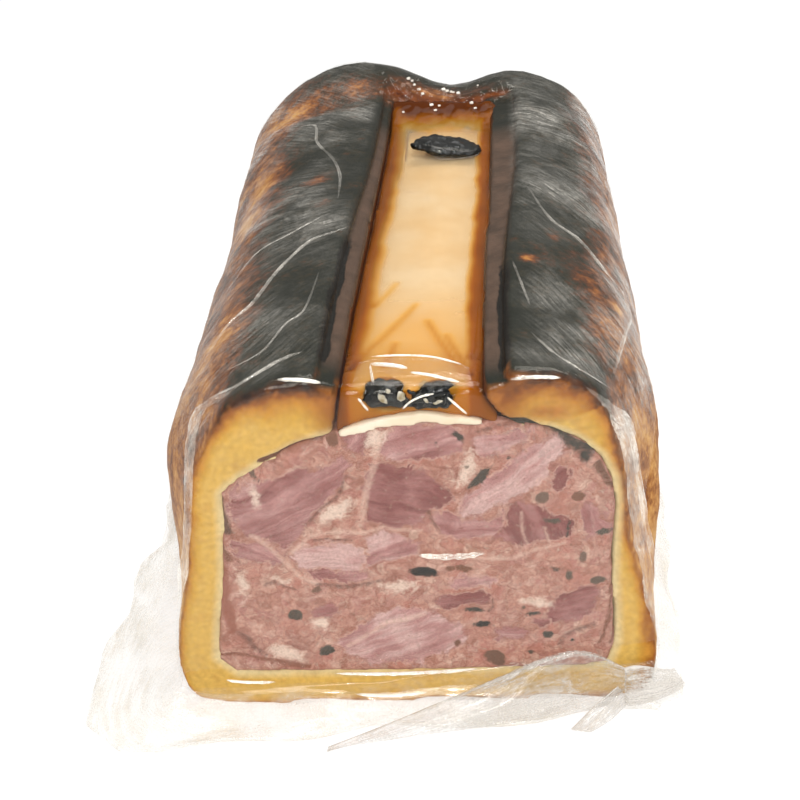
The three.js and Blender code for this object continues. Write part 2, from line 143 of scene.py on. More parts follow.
# Chopped mushroom and spice on the cut face: x, z, half width, half height, turn, darkness
BITS = [
    (1.9, 34.4, 3.0, 1.15, -12, 1.00),
    (12.0, 56.2, 2.9, 0.9, 55, 0.75),
    (8.2, 65.9, 1.4, 0.55, -45, 0.80),
    (11.9, 24.7, 2.0, 0.6, -8, 0.78),
    (13.8, 20.7, 1.6, 0.75, 3, 0.95),
    (9.8, 35.0, 1.9, 0.8, -5, 0.42),
    (6.9, 34.8, 0.9, 0.5, 0, 0.42),
    (-23.4, 24.2, 1.4, 1.5, 0, 0.70),
    (-17.3, 14.8, 1.7, 1.2, 15, 0.75),
    (-14.6, 65.0, 0.9, 1.4, -10, 0.42),
    (-19.0, 30.0, 0.9, 0.7, 0, 0.45),
    (-29.2, 57.4, 0.4, 0.8, 0, 0.55),
    (24.2, 51.9, 1.2, 1.2, 0, 0.50),
    (31.0, 52.0, 1.2, 1.1, 0, 0.42),
    (26.3, 46.4, 1.6, 0.4, -12, 0.65),
    (29.2, 44.3, 0.3, 1.2, 0, 0.80),
    (35.6, 43.4, 1.0, 0.7, 30, 0.65),
    (28.2, 34.3, 1.0, 0.45, -12, 0.80),
    (30.3, 33.2, 0.5, 1.4, 10, 0.60),
    (32.6, 37.6, 0.7, 1.2, 0, 0.50),
    (35.6, 31.6, 1.4, 0.8, 15, 0.60),
    (23.9, 23.4, 1.3, 0.5, 0, 0.80),
    (21.9, 25.0, 0.5, 0.6, 0, 0.55),
    (27.1, 18.0, 1.0, 0.9, -20, 0.80),
    (23.8, 13.2, 0.6, 0.4, 0, 0.60),
    (32.2, 16.2, 0.3, 0.25, 0, 0.90),
    (16.5, 12.4, 2.3, 1.5, -10, 0.48),
    (8.9, 16.0, 0.5, 0.7, 0, 0.42),
    (17.4, 61.3, 0.3, 0.3, 0, 0.80),
    (9.5, 58.9, 0.4, 0.3, 0, 0.60),
    (3.8, 64.6, 0.3, 0.3, 0, 0.80),
    (-10.0, 68.2, 0.5, 0.4, 0, 0.60),
]
# Tendons and seams between the pieces: points in x and z, half width, pale (1) or dark (-1)
SEAMS = [
    ([(-6.6, 64.5), (-8.0, 58.0), (-9.4, 52.0), (-10.4, 46.0)], 0.55, 1),
    ([(-23.5, 39.5), (-20.0, 43.5), (-15.5, 44.4), (-10.2, 44.0), (-6.0, 45.3), (1.0, 44.2)], 0.35, 1),
    ([(-19.0, 42.7), (-12.0, 42.3)], 0.22, -1),
    ([(-18.8, 31.3), (-14.0, 30.9), (-10.0, 31.4), (-6.2, 32.3)], 0.40, -1),
    ([(-31.0, 44.0), (-27.0, 40.4), (-24.0, 36.0), (-22.0, 33.5), (-19.0, 31.8)], 0.40, 1),
    ([(-29.0, 31.4), (-27.0, 32.4), (-25.2, 31.2), (-23.4, 30.6)], 0.32, -1),
    ([(-12.8, 15.9), (-9.4, 18.9), (-5.3, 21.8), (2.0, 24.0)], 0.45, 1),
    ([(20.4, 48.5), (20.6, 44.0), (22.0, 40.8)], 0.28, 1),
    ([(24.9, 45.0), (25.9, 41.4)], 0.28, 1),
    ([(29.8, 15.0), (30.4, 17.0), (33.0, 18.8), (36.0, 20.0)], 0.50, -1),
    ([(15.7, 27.4), (15.8, 25.4), (14.8, 24.0)], 0.25, -1),
    ([(9.6, 37.9), (18.0, 37.4), (24.5, 39.5), (28.9, 41.0)], 0.40, 1),
    ([(11.5, 66.6), (19.8, 68.0)], 0.30, -1),
    ([(-20.0, 46.5), (-17.4, 50.2), (-14.6, 52.6), (-12.6, 57.0)], 0.30, -1),
    ([(2.6, 49.0), (3.0, 46.8), (5.0, 44.2)], 0.25, -1),
    ([(-35.4, 19.6), (-33.0, 18.0), (-31.6, 15.6), (-29.8, 13.8)], 0.45, -1),
]
# Where the crust has come away from the meat, with painted shade in the gap: points in x and z, half width,
# dark painted shade (1) to reddish (0)
CRACKS = [
    ([(-14.2, 69.5), (-14.9, 66.6), (-16.6, 65.2), (-20.4, 64.6), (-24.6, 62.6), (-28.6, 60.9)], 0.45, 0.6),
    ([(-35.4, 52.0), (-35.1, 48.0), (-34.5, 44.5)], 0.50, 0.7),
    ([(-35.3, 41.5), (-34.6, 38.0)], 0.35, 0.4),
    ([(-35.6, 36.0), (-35.8, 30.0), (-35.6, 25.0), (-35.9, 20.0)], 0.55, 0.15),
    ([(-38.0, 14.6), (-34.0, 13.8), (-30.0, 12.8), (-25.5, 11.6), (-21.0, 11.0)], 0.40, 0.3),
    ([(15.6, 69.8), (17.0, 68.9), (20.0, 68.9), (22.4, 67.4), (25.5, 65.6), (27.6, 63.6), (30.0, 62.0),
      (31.8, 61.7)], 0.60, 1.0),
    ([(30.4, 61.9), (31.4, 60.2)], 0.60, 1.0),
    ([(33.3, 59.3), (34.6, 56.6), (36.3, 53.8)], 0.35, 0.6),
    ([(37.2, 52.0), (37.9, 49.8), (38.1, 47.6)], 0.40, 0.6),
    ([(37.9, 41.5), (37.8, 38.5), (37.9, 35.8)], 0.45, 0.5),
    ([(38.0, 34.0), (38.0, 28.0), (38.4, 22.0), (37.9, 18.0), (37.6, 15.5)], 0.22, 0.4),
    ([(38.9, 30.0), (39.2, 25.0), (39.4, 19.0), (39.0, 16.0)], 0.22, 0.4),
]

# Paler and redder spots in the baked skin: x, y, reach in x, reach in y, change of browning
SPOTS = [
    (-25.6, 90.3, 3.0, 3.0, -0.60),
    (-23.1, 74.9, 2.0, 2.2, -0.50),
    (21.7, 48.4, 1.7, 2.0, -0.66),
    (27.6, 61.5, 1.2, 1.6, -0.60),
    (40.2, 41.2, 1.6, 2.4, -0.50),
    (-40.5, 103.7, 4.0, 7.0, -0.40),
    (-42.2, 87.0, 4.0, 7.0, -0.40),
    (-26.0, 148.0, 17.0, 8.0, -0.50),
    (2.0, 153.0, 13.0, 6.5, -0.55),
    (30.0, 50.0, 7.0, 13.0, -0.24),
    (36.0, 24.0, 6.0, 12.0, -0.26),
    (-38.0, 24.0, 6.0, 14.0, -0.34),
]
# Brown stain in the crumb of the right flap: x, z, reach in x, reach in z
STAIN = (23.5, 70.9, 6.0, 2.0)
# Where the right wall bulges near the cut: y, z, reach in y, reach in z, and how far
SWELL = (16.0, 38.0, 20.0, 15.0)
SWELL_OUT = 2.0

# Milky (above zero) and clear patches of film over the flaps: x, y, reach in x, reach in y, change
FILM_PATCHES = [
    (-33.0, 75.0, 9.0, 12.0, 0.10),
    (-22.0, 62.0, 6.0, 6.0, 0.10),
    (-29.0, 130.0, 16.0, 10.0, 0.10),
    (-24.5, 108.0, 4.0, 7.0, 0.08),
    (-30.0, 22.0, 6.0, 7.0, 0.05),
    (-25.0, 40.0, 7.0, 10.0, -0.04),
    (-18.0, 84.0, 4.0, 17.0, -0.04),
    (-32.0, 104.0, 6.0, 6.0, -0.05),
    (31.0, 86.0, 11.0, 10.0, 0.10),
    (30.0, 128.0, 15.0, 10.0, 0.12),
    (24.0, 104.0, 6.0, 8.0, 0.06),
    (31.0, 12.0, 8.0, 9.0, 0.12),
    (28.0, 30.0, 9.0, 8.0, 0.07),
    (31.0, 51.0, 7.0, 8.0, -0.04),
    (20.0, 42.0, 4.0, 20.0, -0.03),
    (18.0, 22.0, 4.0, 12.0, -0.04),
]
# Standing creases of the film over the flaps: points in x and y, width and height
CREASES = [
    ([(-43.5, 20.0), (-38.4, 28.7), (-33.7, 32.7), (-30.0, 44.8), (-24.6, 55.9), (-19.5, 58.7),
      (-16.5, 60.9)], 1.0, 0.7),
    ([(-38.5, 6.5), (-32.5, 2.4), (-25.5, 5.7), (-21.1, 8.0)], 1.1, 0.8),
    ([(-41.8, 136.0), (-30.2, 126.4), (-28.0, 113.8), (-23.1, 101.8), (-20.5, 90.3),
      (-19.8, 76.0)], 1.3, 0.5),
    ([(-35.6, 10.2), (-29.0, 11.4), (-25.4, 19.0), (-22.2, 23.5), (-20.9, 40.3)], 0.6, 0.25),
    ([(-42.5, 52.0), (-36.6, 60.1), (-29.4, 62.2), (-22.4, 67.3)], 0.6, 0.25),
    ([(23.0, 84.5), (27.4, 70.1), (33.5, 63.8), (38.2, 56.2), (43.0, 54.3), (44.4, 49.2)], 0.9, 0.7),
    ([(18.5, 45.2), (21.4, 28.1)], 0.6, 0.4),
    ([(44.3, 49.0), (40.7, 30.2), (37.1, 14.9)], 1.3, 0.9),
    ([(21.2, 16.9), (25.2, 9.2), (31.3, 5.7), (36.9, 11.3)], 0.6, 0.25),
]
# Film folds down the front edges of the loaf: points, width and height
EDGE_FOLDS = [
    ([(-30.5, -2.6, 78.4), (-34.4, -3.2, 75.8), (-38.2, -3.6, 73.2), (-40.0, -4.0, 69.0),
      (-41.2, -4.2, 62.0), (-42.4, -4.2, 50.0), (-43.4, -4.2, 42.0), (-45.6, -4.4, 28.7),
      (-47.2, -4.4, 15.0)], 1.8, 0.9),
    ([(30.7, 1.0, 76.6), (35.2, 1.4, 72.4), (37.8, 1.5, 68.7), (39.6, 1.6, 62.6), (41.2, 1.8, 53.9),
      (43.2, 2.0, 44.1), (45.8, 2.2, 33.2), (48.8, 2.4, 20.5), (50.8, 2.6, 9.5)], 3.2, 1.0),
    ([(37.4, 2.0, 70.8), (40.2, 2.2, 64.0), (42.4, 2.4, 54.0), (45.2, 2.6, 42.0),
      (48.8, 2.8, 28.0)], 1.2, 0.7),
]
# Short film folds on the cut face, the groove's front end and the flaps, painted white as highlights:
# points, width and height
PAINTED_GLINTS = [
    ([(1.0, -0.5, 38.9), (4.5, -0.4, 38.6), (9.0, -0.2, 38.7), (13.6, 0.1, 39.3)], 1.3, 0.9),
    ([(-16.0, -1.7, 8.9), (-6.0, -1.2, 8.8), (4.0, -0.7, 9.2), (13.0, -0.2, 9.9)], 0.5, 0.7),
    ([(-12.0, -1.5, 3.2), (-4.0, -1.0, 2.8), (3.0, -0.6, 3.4)], 0.5, 0.7),
    ([(-38.0, -3.2, 7.6), (-34.0, -2.9, 7.0), (-28.0, -2.5, 6.8)], 0.4, 0.5),
    ([(-8.4, 4.9, 78.2), (-6.5, 4.4, 78.5), (-4.0, 4.1, 78.5), (-1.5, 3.6, 78.3)], 0.8, 0.3),
    ([(-1.0, 2.6, 78.0), (2.0, 2.0, 78.0), (5.0, 1.2, 77.8), (8.0, 0.5, 77.4)], 0.5, 0.3),
    ([(-8.5, 7.4, 78.3), (-3.0, 7.8, 78.5), (3.0, 7.6, 78.4), (8.4, 5.6, 78.1)], 0.2, 0.2),
    ([(-8.3, 4.6, 78.2), (-7.9, 2.0, 77.8), (-7.4, -0.2, 77.0)], 0.4, 0.3),
    ([(-2.2, -1.0, 72.4), (-0.9, -1.0, 73.9), (1.2, -0.9, 75.1), (3.4, -0.7, 75.6)], 0.25, 0.2),
    ([(-10.2, -1.3, 74.7), (-9.2, -1.3, 73.2), (-8.4, -1.2, 72.0)], 0.3, 0.2),
    ([(5.8, -0.5, 74.8), (7.6, -0.4, 73.0), (9.4, -0.3, 71.2)], 0.3, 0.2),
    ([(-24.5, -1.9, 78.6), (-20.0, -1.6, 78.4), (-16.8, -1.4, 77.8)], 0.7, 0.4),
    ([(17.0, 0.9, 78.0), (21.0, 1.2, 78.4), (26.0, 1.5, 78.2)], 0.6, 0.4),
]
# Tiny wrinkles over the groove's baked end, painted white as sparkling highlights
PAINTED_SPARKLES = 22
# Loose film at the front right foot, its sheet, knot and tab: the upper and the lower edge of each
SHEET_TOP = [(-16.5, -13.8, 0.6), (-6.0, -8.2, 1.2), (4.0, -3.4, 2.6), (12.0, -1.6, 5.4), (18.0, -0.8, 8.2),
             (24.0, -0.2, 11.6), (30.0, 0.4, 14.0), (34.0, 0.8, 14.2), (38.0, 1.2, 12.8), (43.5, 1.8, 9.4)]
SHEET_FOOT = [(-16.5, -14.2, 0.4), (-8.0, -12.2, 0.4), (0.0, -10.2, 0.4), (8.0, -8.4, 0.4),
              (15.0, -6.8, 0.4), (22.0, -5.2, 0.4), (29.0, -3.6, 0.4), (35.0, -1.8, 0.6), (40.0, 0.0, 0.8),
              (43.5, 1.2, 4.0)]
KNOT_TOP = [(43.0, 1.6, 9.8), (45.2, 1.4, 10.6), (48.4, 2.2, 9.6), (51.4, 3.4, 8.0), (54.0, 6.0, 6.0)]
KNOT_FOOT = [(43.6, 1.2, 1.0), (44.6, 0.4, 0.4), (48.0, 1.2, 0.4), (53.0, 3.6, 0.4), (57.5, 7.0, 0.4)]
TAB_TOP = [(32.2, -7.0, 0.7), (34.8, -4.0, 1.2), (37.6, -1.2, 2.2), (42.0, 1.2, 5.0)]
TAB_FOOT = [(36.2, -7.4, 0.4), (38.8, -5.4, 0.4), (41.4, -3.0, 0.5), (44.8, 0.8, 1.6)]
# Film stretched over the front end of the groove: its back and its front edge
BRIDGE_BACK = [(-10.6, 6.4, 77.6), (-7.0, 7.6, 78.0), (0.0, 8.2, 77.8), (6.0, 7.4, 78.0), (9.6, 5.8, 77.4)]
BRIDGE_FRONT = [(-11.4, -0.6, 76.6), (-7.0, -0.4, 77.0), (0.0, 0.0, 76.8), (6.0, 0.5, 76.8),
                (10.6, 0.8, 76.2)]
# Film folds pressed on the jelly, with painted shade along them: points in x and y
JELLY_FOLDS = [
    [(-11.9, 8.0), (-9.5, 19.8), (-5.6, 29.1), (-1.1, 40.1)],
    [(-9.4, 38.6), (-7.3, 44.2), (-5.5, 49.5)],
    [(-6.4, 10.0), (-4.6, 23.1)],
    [(9.6, 6.0), (7.8, 17.3), (5.3, 26.9)],
    [(8.6, 6.0), (5.4, 20.5), (1.5, 32.9)],
]
JELLY_FOLD_WIDTH = 0.8
# Bubbles under the jelly's film: x, y, reach in x, reach in y
BUBBLES = [
    (-3.9, 95.5, 2.4, 2.6),
    (5.6, 62.7, 1.0, 1.4),
    (8.1, 35.4, 1.3, 1.2),
]
# Pale kernels in the front mushrooms: x, z, half width, half height, turn in degrees
PIPS = [
    (-5.9, 74.4, 0.6, 1.15, -40),
    (-4.8, 75.9, 0.5, 0.4, 0),
    (-2.6, 74.7, 0.6, 1.0, -15),
    (1.9, 73.8, 0.55, 0.4, 20),
    (4.2, 73.5, 0.85, 0.3, -10),
]
# Shreds of mushroom in the jelly between the larger ones: x, z, half width, half height, turn in degrees
SHREDS = [
    (-8.4, 74.3, 1.1, 0.8, -20),
    (-2.0, 73.5, 1.3, 0.9, 20),
    (0.2, 73.0, 1.9, 0.7, -5),
    (3.6, 72.9, 2.6, 0.6, 4),
    (5.9, 73.8, 0.9, 1.2, 0),
    (-0.6, 75.4, 0.9, 0.4, 40),
]

# The photograph's viewpoint, in millimetres of the loaf and degrees, and the lens, in millimetres
CAMERA_AT = (6.4, -217.3, 208.6)
CAMERA_TILT = 58.2
CAMERA_TURN = 2.4
LENS = 63.9
SENSOR = 36.0
# Soft lights: name, place and size in metres, watts
LAMPS = [
    ("front_box", (-0.02, -0.82, 0.65), 0.40, 4.0),
    ("top_box", (0.15, 0.05, 0.85), 0.60, 4.8),
    ("flash", (0.03, -0.36, 0.36), 0.04, 0.4),
]
# Where the lights point, in millimetres of the loaf
LAMP_AIM = (0.0, 60.0, 40.0)
# The room's own light, and half the floor's width in metres
ROOM_STRENGTH = 0.4
FLOOR_HALF = 3.0


# Small sums
def smooth(low, high, value):
    """0 at low, 1 at high, with soft ends."""
    t = min(max((value - low) / (high - low), 0.0), 1.0)
    return t * t * (3.0 - 2.0 * t)


def blend(first, second, part):
    """Part of the way from one value to another."""
    return first + (second - first) * part


def lumps(point, size):
    """Unevenness from about -1 to 1, the same each run, with lumps of the given size in mm."""
    roughness, gap, octaves = 1.0, 2.0, 3
    return noise.fractal(Vector(point) / size, roughness, gap, octaves)


def flat(points):
    """A polyline of vectors."""
    return [Vector(point) for point in points]


def traced(points):
    """A polyline of vectors with the corners of the box round it."""
    line = flat(points)
    low = Vector((min(point.x for point in line), min(point.y for point in line)))
    high = Vector((max(point.x for point in line), max(point.y for point in line)))
    return line, low, high


def beside(spot, trace, margin):
    """Whether a flat spot lies within a margin of the box round a polyline."""
    _, low, high = trace
    return low.x - margin < spot.x < high.x + margin and low.y - margin < spot.y < high.y + margin


def off_line(spot, line):
    """Distance from a flat spot to a polyline."""
    best = math.inf
    for start, end in zip(line, line[1:]):
        step = end - start
        along = min(max((spot - start).dot(step) / step.length_squared, 0.0), 1.0)
        best = min(best, (spot - start - along * step).length)
    return best


def in_outline(spot, line):
    """How many mm a flat spot lies inside a closed outline, negative outside."""
    inside = False
    for start, end in zip(line, line[1:] + line[:1]):
        if (start.y > spot.y) != (end.y > spot.y):
            inside ^= spot.x < start.x + (spot.y - start.y) / (end.y - start.y) * (end.x - start.x)
    away = off_line(spot, line + line[:1])
    return away if inside else -away


def in_oval(spot, oval):
    """About how many mm a flat spot lies inside an oval, negative outside."""
    x, z, wide, high, turn = oval[:5]
    away = Matrix.Rotation(math.radians(-turn), 2) @ (spot - Vector((x, z)))
    return (1.0 - math.hypot(away.x / wide, away.y / high)) * min(wide, high)


def on_path(points, part):
    """A point part of the way along a smooth path through the given points."""
    count = len(points) - 1
    index = min(int(part * count), count - 1)
    t = part * count - index
    before = points[max(index - 1, 0)]
    start = points[index]
    end = points[index + 1]
    after = points[min(index + 2, count)]
    bend = 2.0 * before - 5.0 * start + 4.0 * end - after
    twist = 3.0 * start - before - 3.0 * end + after
    return 0.5 * (2.0 * start + (end - before) * t + bend * t ** 2 + twist * t ** 3)


def near_spot(point, spot):
    """How strongly a soft round spot shows at a point: 1 in its middle, fading outwards."""
    x, y, reach_x, reach_y = spot[:4]
    return math.exp(-((point.x - x) / reach_x) ** 2 - ((point.y - y) / reach_y) ** 2)


def groove_x(point):
    """Sideways place in the groove's own run, which drifts to the right along the loaf."""
    return point.x - GROOVE_DRIFT * smooth(0.0, GROOVE_LENGTH, point.y)


def between_flaps(point, right_reach):
    """1 between the flaps, as far out as the given reach beyond the right lip."""
    across = groove_x(point)
    from_left = smooth(LEFT_LIP - 6.0, LEFT_LIP - 3.0, across)
    return from_left * smooth(RIGHT_LIP + right_reach, RIGHT_LIP + right_reach - 3.0, across)


def cut_y(point):
    """How far along the loaf the slightly skewed cut lies at that point."""
    return CUT_SKEW * point.x / HALF_WIDTH


# Making pieces
def copy_of(*nodes):
    """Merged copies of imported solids, in loaf millimetres."""
    form = bmesh.new()
    for node in nodes:
        form.from_mesh(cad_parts[node].data)
    bmesh.ops.remove_doubles(form, verts=form.verts, dist=MERGE)
    bmesh.ops.transform(form, matrix=TO_LOAF, verts=form.verts)
    return form


def surface_of(*nodes):
    """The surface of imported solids, to find its points."""
    form = copy_of(*nodes)
    tree = BVHTree.FromBMesh(form)
    form.free()
    return tree


def mesh_of(form, name):
    """The form as a mesh; the form is used up."""
    mesh = bpy.data.meshes.new(name)
    form.to_mesh(mesh)
    form.free()
    return mesh


def linked(name, data):
    """A new object in the scene that carries a mesh, a light or a camera."""
    made = bpy.data.objects.new(name, data)
    bpy.context.scene.collection.objects.link(made)
    return made


def remeshed(form, voxel):
    """The form again in even quads of about the voxel size."""
    mesh = mesh_of(form, "work")
    work = linked("work", mesh)
    even = work.modifiers.new("even", "REMESH")
    even.mode = "VOXEL"
    even.voxel_size = voxel
    made = bmesh.new()
    made.from_object(work, bpy.context.evaluated_depsgraph_get())
    bpy.data.objects.remove(work)
    bpy.data.meshes.remove(mesh)
    return made


def softened(form, times):
    """Evens out the steps that remeshing leaves."""
    for _ in range(times):
        bmesh.ops.smooth_vert(form, verts=form.verts, factor=0.5, use_axis_x=True, use_axis_y=True,
                              use_axis_z=True)
    form.normal_update()


def refined(form, wanted):
    """Halves the quads that the rule wants."""
    edges = {edge for face in form.faces if wanted(face) for edge in face.edges}
    bmesh.ops.subdivide_edges(form, edges=list(edges), cuts=1, use_grid_fill=True)
    form.normal_update()


def on_cut(face):
    """Whether a face looks out of the cut."""
    return face.normal.y < -0.6


def place(form, name, finish, node=None):
    """Makes the form a finished piece in the row frame that rides with the loaf."""
    bmesh.ops.transform(form, matrix=TO_ROW, verts=form.verts)
    mesh = mesh_of(form, name)
    mesh.materials.clear()
    mesh.materials.append(finish)
    mesh.shade_smooth()
    piece = linked(name, mesh)
    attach(piece, "root")
    if node:
        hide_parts(node)


# Shader nodes
BLEND = {"out": 2, "data_type": "RGBA"}
SOFT = {"interpolation_type": "SMOOTHSTEP"}
NOISE_RANGE = {"From Min": 0.3, "From Max": 0.7}


def linear(code):
    """An sRGB hex colour as linear red, green, blue and full alpha."""
    parts = [int(code[i:i + 2], 16) / 255 for i in (1, 3, 5)]
    return tuple(p / 12.92 if p <= 0.04045 else ((p + 0.055) / 1.055) ** 2.4 for p in parts) + (1.0,)


def per_mm(size):
    """A texture scale whose pattern repeats about every so many millimetres."""
    return 1000.0 / size


def add(tree, kind, sockets=None, out=0, stops=(), **settings):
    """Adds a node and returns one output; sockets take numbers, hex colours or other nodes' outputs."""
    node = tree.nodes.new("ShaderNode" + kind)
    for name, value in settings.items():
        setattr(node, name, value)
    for name, value in (sockets or {}).items():
        if isinstance(value, bpy.types.NodeSocket):
            tree.links.new(value, node.inputs[name])
        else:
            node.inputs[name].default_value = linear(value) if isinstance(value, str) else value
    for index, (position, code) in enumerate(stops):
        elements = node.color_ramp.elements
        element = elements[index] if index < len(elements) else elements.new(position)
        element.position = position
        element.color = linear(code)
    return node.outputs[out] if node.outputs else None


def new_finish(name):
    """An empty node material and its tree."""
    finish = bpy.data.materials.new(name)
    finish.use_nodes = True
    finish.node_tree.nodes.clear()
    return finish, finish.node_tree


# Colours in the cracks, from reddish to the dark of painted shade in the gap
CRACK_SHADE_STOPS = [(0.0, "#9a5a48"), (0.5, "#6e4531"), (1.0, "#37322a")]
CRUST_MARKS = ("bake", "cut", "rim", "from_meat", "crack", "crack_shade", "soak", "ledge", "shaded_gap", "tip")


def baked_pastry():
    """Hot-water pastry, egg-washed and baked: matt and mottled from gold to black outside, and a close
    yellow crumb where it is cut, scorched orange under the skin and paler towards the meat."""
    finish, tree = new_finish("egg_washed_baked_pastry")
    spot = add(tree, "TexCoord", out="Object")
    bake, cut, rim, meat, crack, crack_shade, soak, ledge, shaded_gap, tip = (
        add(tree, "Attribute", out="Fac", attribute_name=name) for name in CRUST_MARKS)
    mottle = add(tree, "TexNoise", {"Vector": spot, "Scale": per_mm(5.0), "Detail": 6.0, "Roughness": 0.65})
    crumbs = add(tree, "TexNoise", {"Vector": spot, "Scale": per_mm(1.1), "Detail": 4.0})
    flecks = add(tree, "TexNoise", {"Vector": spot, "Scale": per_mm(1.7), "Detail": 5.0, "Roughness": 0.75})
    browned = add(tree, "MapRange", {"Value": mottle, **NOISE_RANGE, "To Min": -0.2, "To Max": 0.2})
    flecked = add(tree, "MapRange", {"Value": flecks, **NOISE_RANGE, "To Min": -0.2, "To Max": 0.2})
    bake_here = add(tree, "Math", {0: bake, 1: browned}, operation="ADD")
    bake_here = add(tree, "Math", {0: bake_here, 1: flecked}, operation="ADD")
    skin = add(tree, "ValToRGB", {"Fac": bake_here}, stops=[
        (0.0, "#cf9c58"), (0.2, "#b4793a"), (0.38, "#8a5226"), (0.54, "#62371c"), (0.68, "#412a1a"),
        (0.84, "#2a281c"), (1.0, "#1f211a")])
    rim_shift = add(tree, "MapRange", {"Value": mottle, **NOISE_RANGE, "To Min": -0.14, "To Max": 0.14})
    rim_here = add(tree, "Math", {0: rim, 1: rim_shift}, operation="ADD")
    crumb = add(tree, "ValToRGB", {"Fac": rim_here}, stops=[
        (0.0, "#190d08"), (0.16, "#4a260f"), (0.3, "#8f5219"), (0.48, "#bb812d"), (0.7, "#c7993f"),
        (1.0, "#cda452")])
    near_meat = add(tree, "MapRange", {"Value": meat, "From Min": 3.2, "From Max": 0.8, "To Max": 0.85},
                    **SOFT)
    crumb = add(tree, "Mix", {0: near_meat, 6: crumb, 7: "#d8c596"}, **BLEND)
    tip_edge = add(tree, "Math", {0: browned, 1: 1.5, 2: tip}, operation="MULTIPLY_ADD", use_clamp=True)
    tip_colour = add(tree, "ValToRGB", {"Fac": mottle}, stops=[(0.3, "#6b3413"), (0.7, "#b3702c")])
    crumb = add(tree, "Mix", {0: tip_edge, 6: crumb, 7: tip_colour}, **BLEND)
    speck = add(tree, "MapRange", {"Value": crumbs, **NOISE_RANGE, "To Min": 0.88, "To Max": 1.1})
    crumb = add(tree, "Mix", {0: 1.0, 6: crumb, 7: speck}, blend_type="MULTIPLY", **BLEND)
    # Cracks between crust and meat, darkened with painted shade
    crack_edge = add(tree, "Math", {0: flecked, 1: 2.0, 2: crack}, operation="MULTIPLY_ADD")
    in_crack = add(tree, "MapRange", {"Value": crack_edge, "From Min": 0.3, "From Max": 0.75}, **SOFT)
    crack_colour = add(tree, "ValToRGB", {"Fac": crack_shade}, stops=CRACK_SHADE_STOPS)
    crumb = add(tree, "Mix", {0: in_crack, 6: crumb, 7: crack_colour}, **BLEND)
    colour = add(tree, "Mix", {0: cut, 6: skin, 7: crumb}, **BLEND)
    soaked = add(tree, "ValToRGB", {"Fac": flecks}, stops=[(0.35, "#3f1a08"), (0.65, "#8f4a1b")])
    colour = add(tree, "Mix", {0: soak, 6: colour, 7: soaked}, **BLEND)
    ledge_colour = add(tree, "ValToRGB", {"Fac": mottle}, stops=[(0.3, "#44352a"), (0.7, "#634d3f")])
    colour = add(tree, "Mix", {0: ledge, 6: colour, 7: ledge_colour}, **BLEND)
    # The step down from each flap to its ledge, painted black as its shadow
    shaded_gap_edge = add(tree, "Math", {0: flecked, 1: 1.0, 2: shaded_gap}, operation="MULTIPLY_ADD")
    in_shaded_gap = add(tree, "MapRange", {"Value": shaded_gap_edge, "From Min": 0.35, "From Max": 0.7}, **SOFT)
    colour = add(tree, "Mix", {0: in_shaded_gap, 6: colour, 7: "#14110d"}, **BLEND)
    rough = add(tree, "MapRange", {"Value": mottle, "To Min": 0.5, "To Max": 0.75})
    height = add(tree, "Math", {0: mottle, 1: crumbs}, operation="ADD")
    normal = add(tree, "Bump", {"Height": height, "Strength": 0.3, "Distance": 0.0004})
    surface = add(tree, "BsdfPrincipled", {"Base Color": colour, "Roughness": rough, "Normal": normal,
                                           "IOR": 1.25})
    add(tree, "OutputMaterial", {"Surface": surface})
    return finish


MEAT_MARKS = ("ham", "tone", "fat", "bit", "bit_tone", "pale_seam", "dark_seam", "crack", "crack_shade",
              "rim")


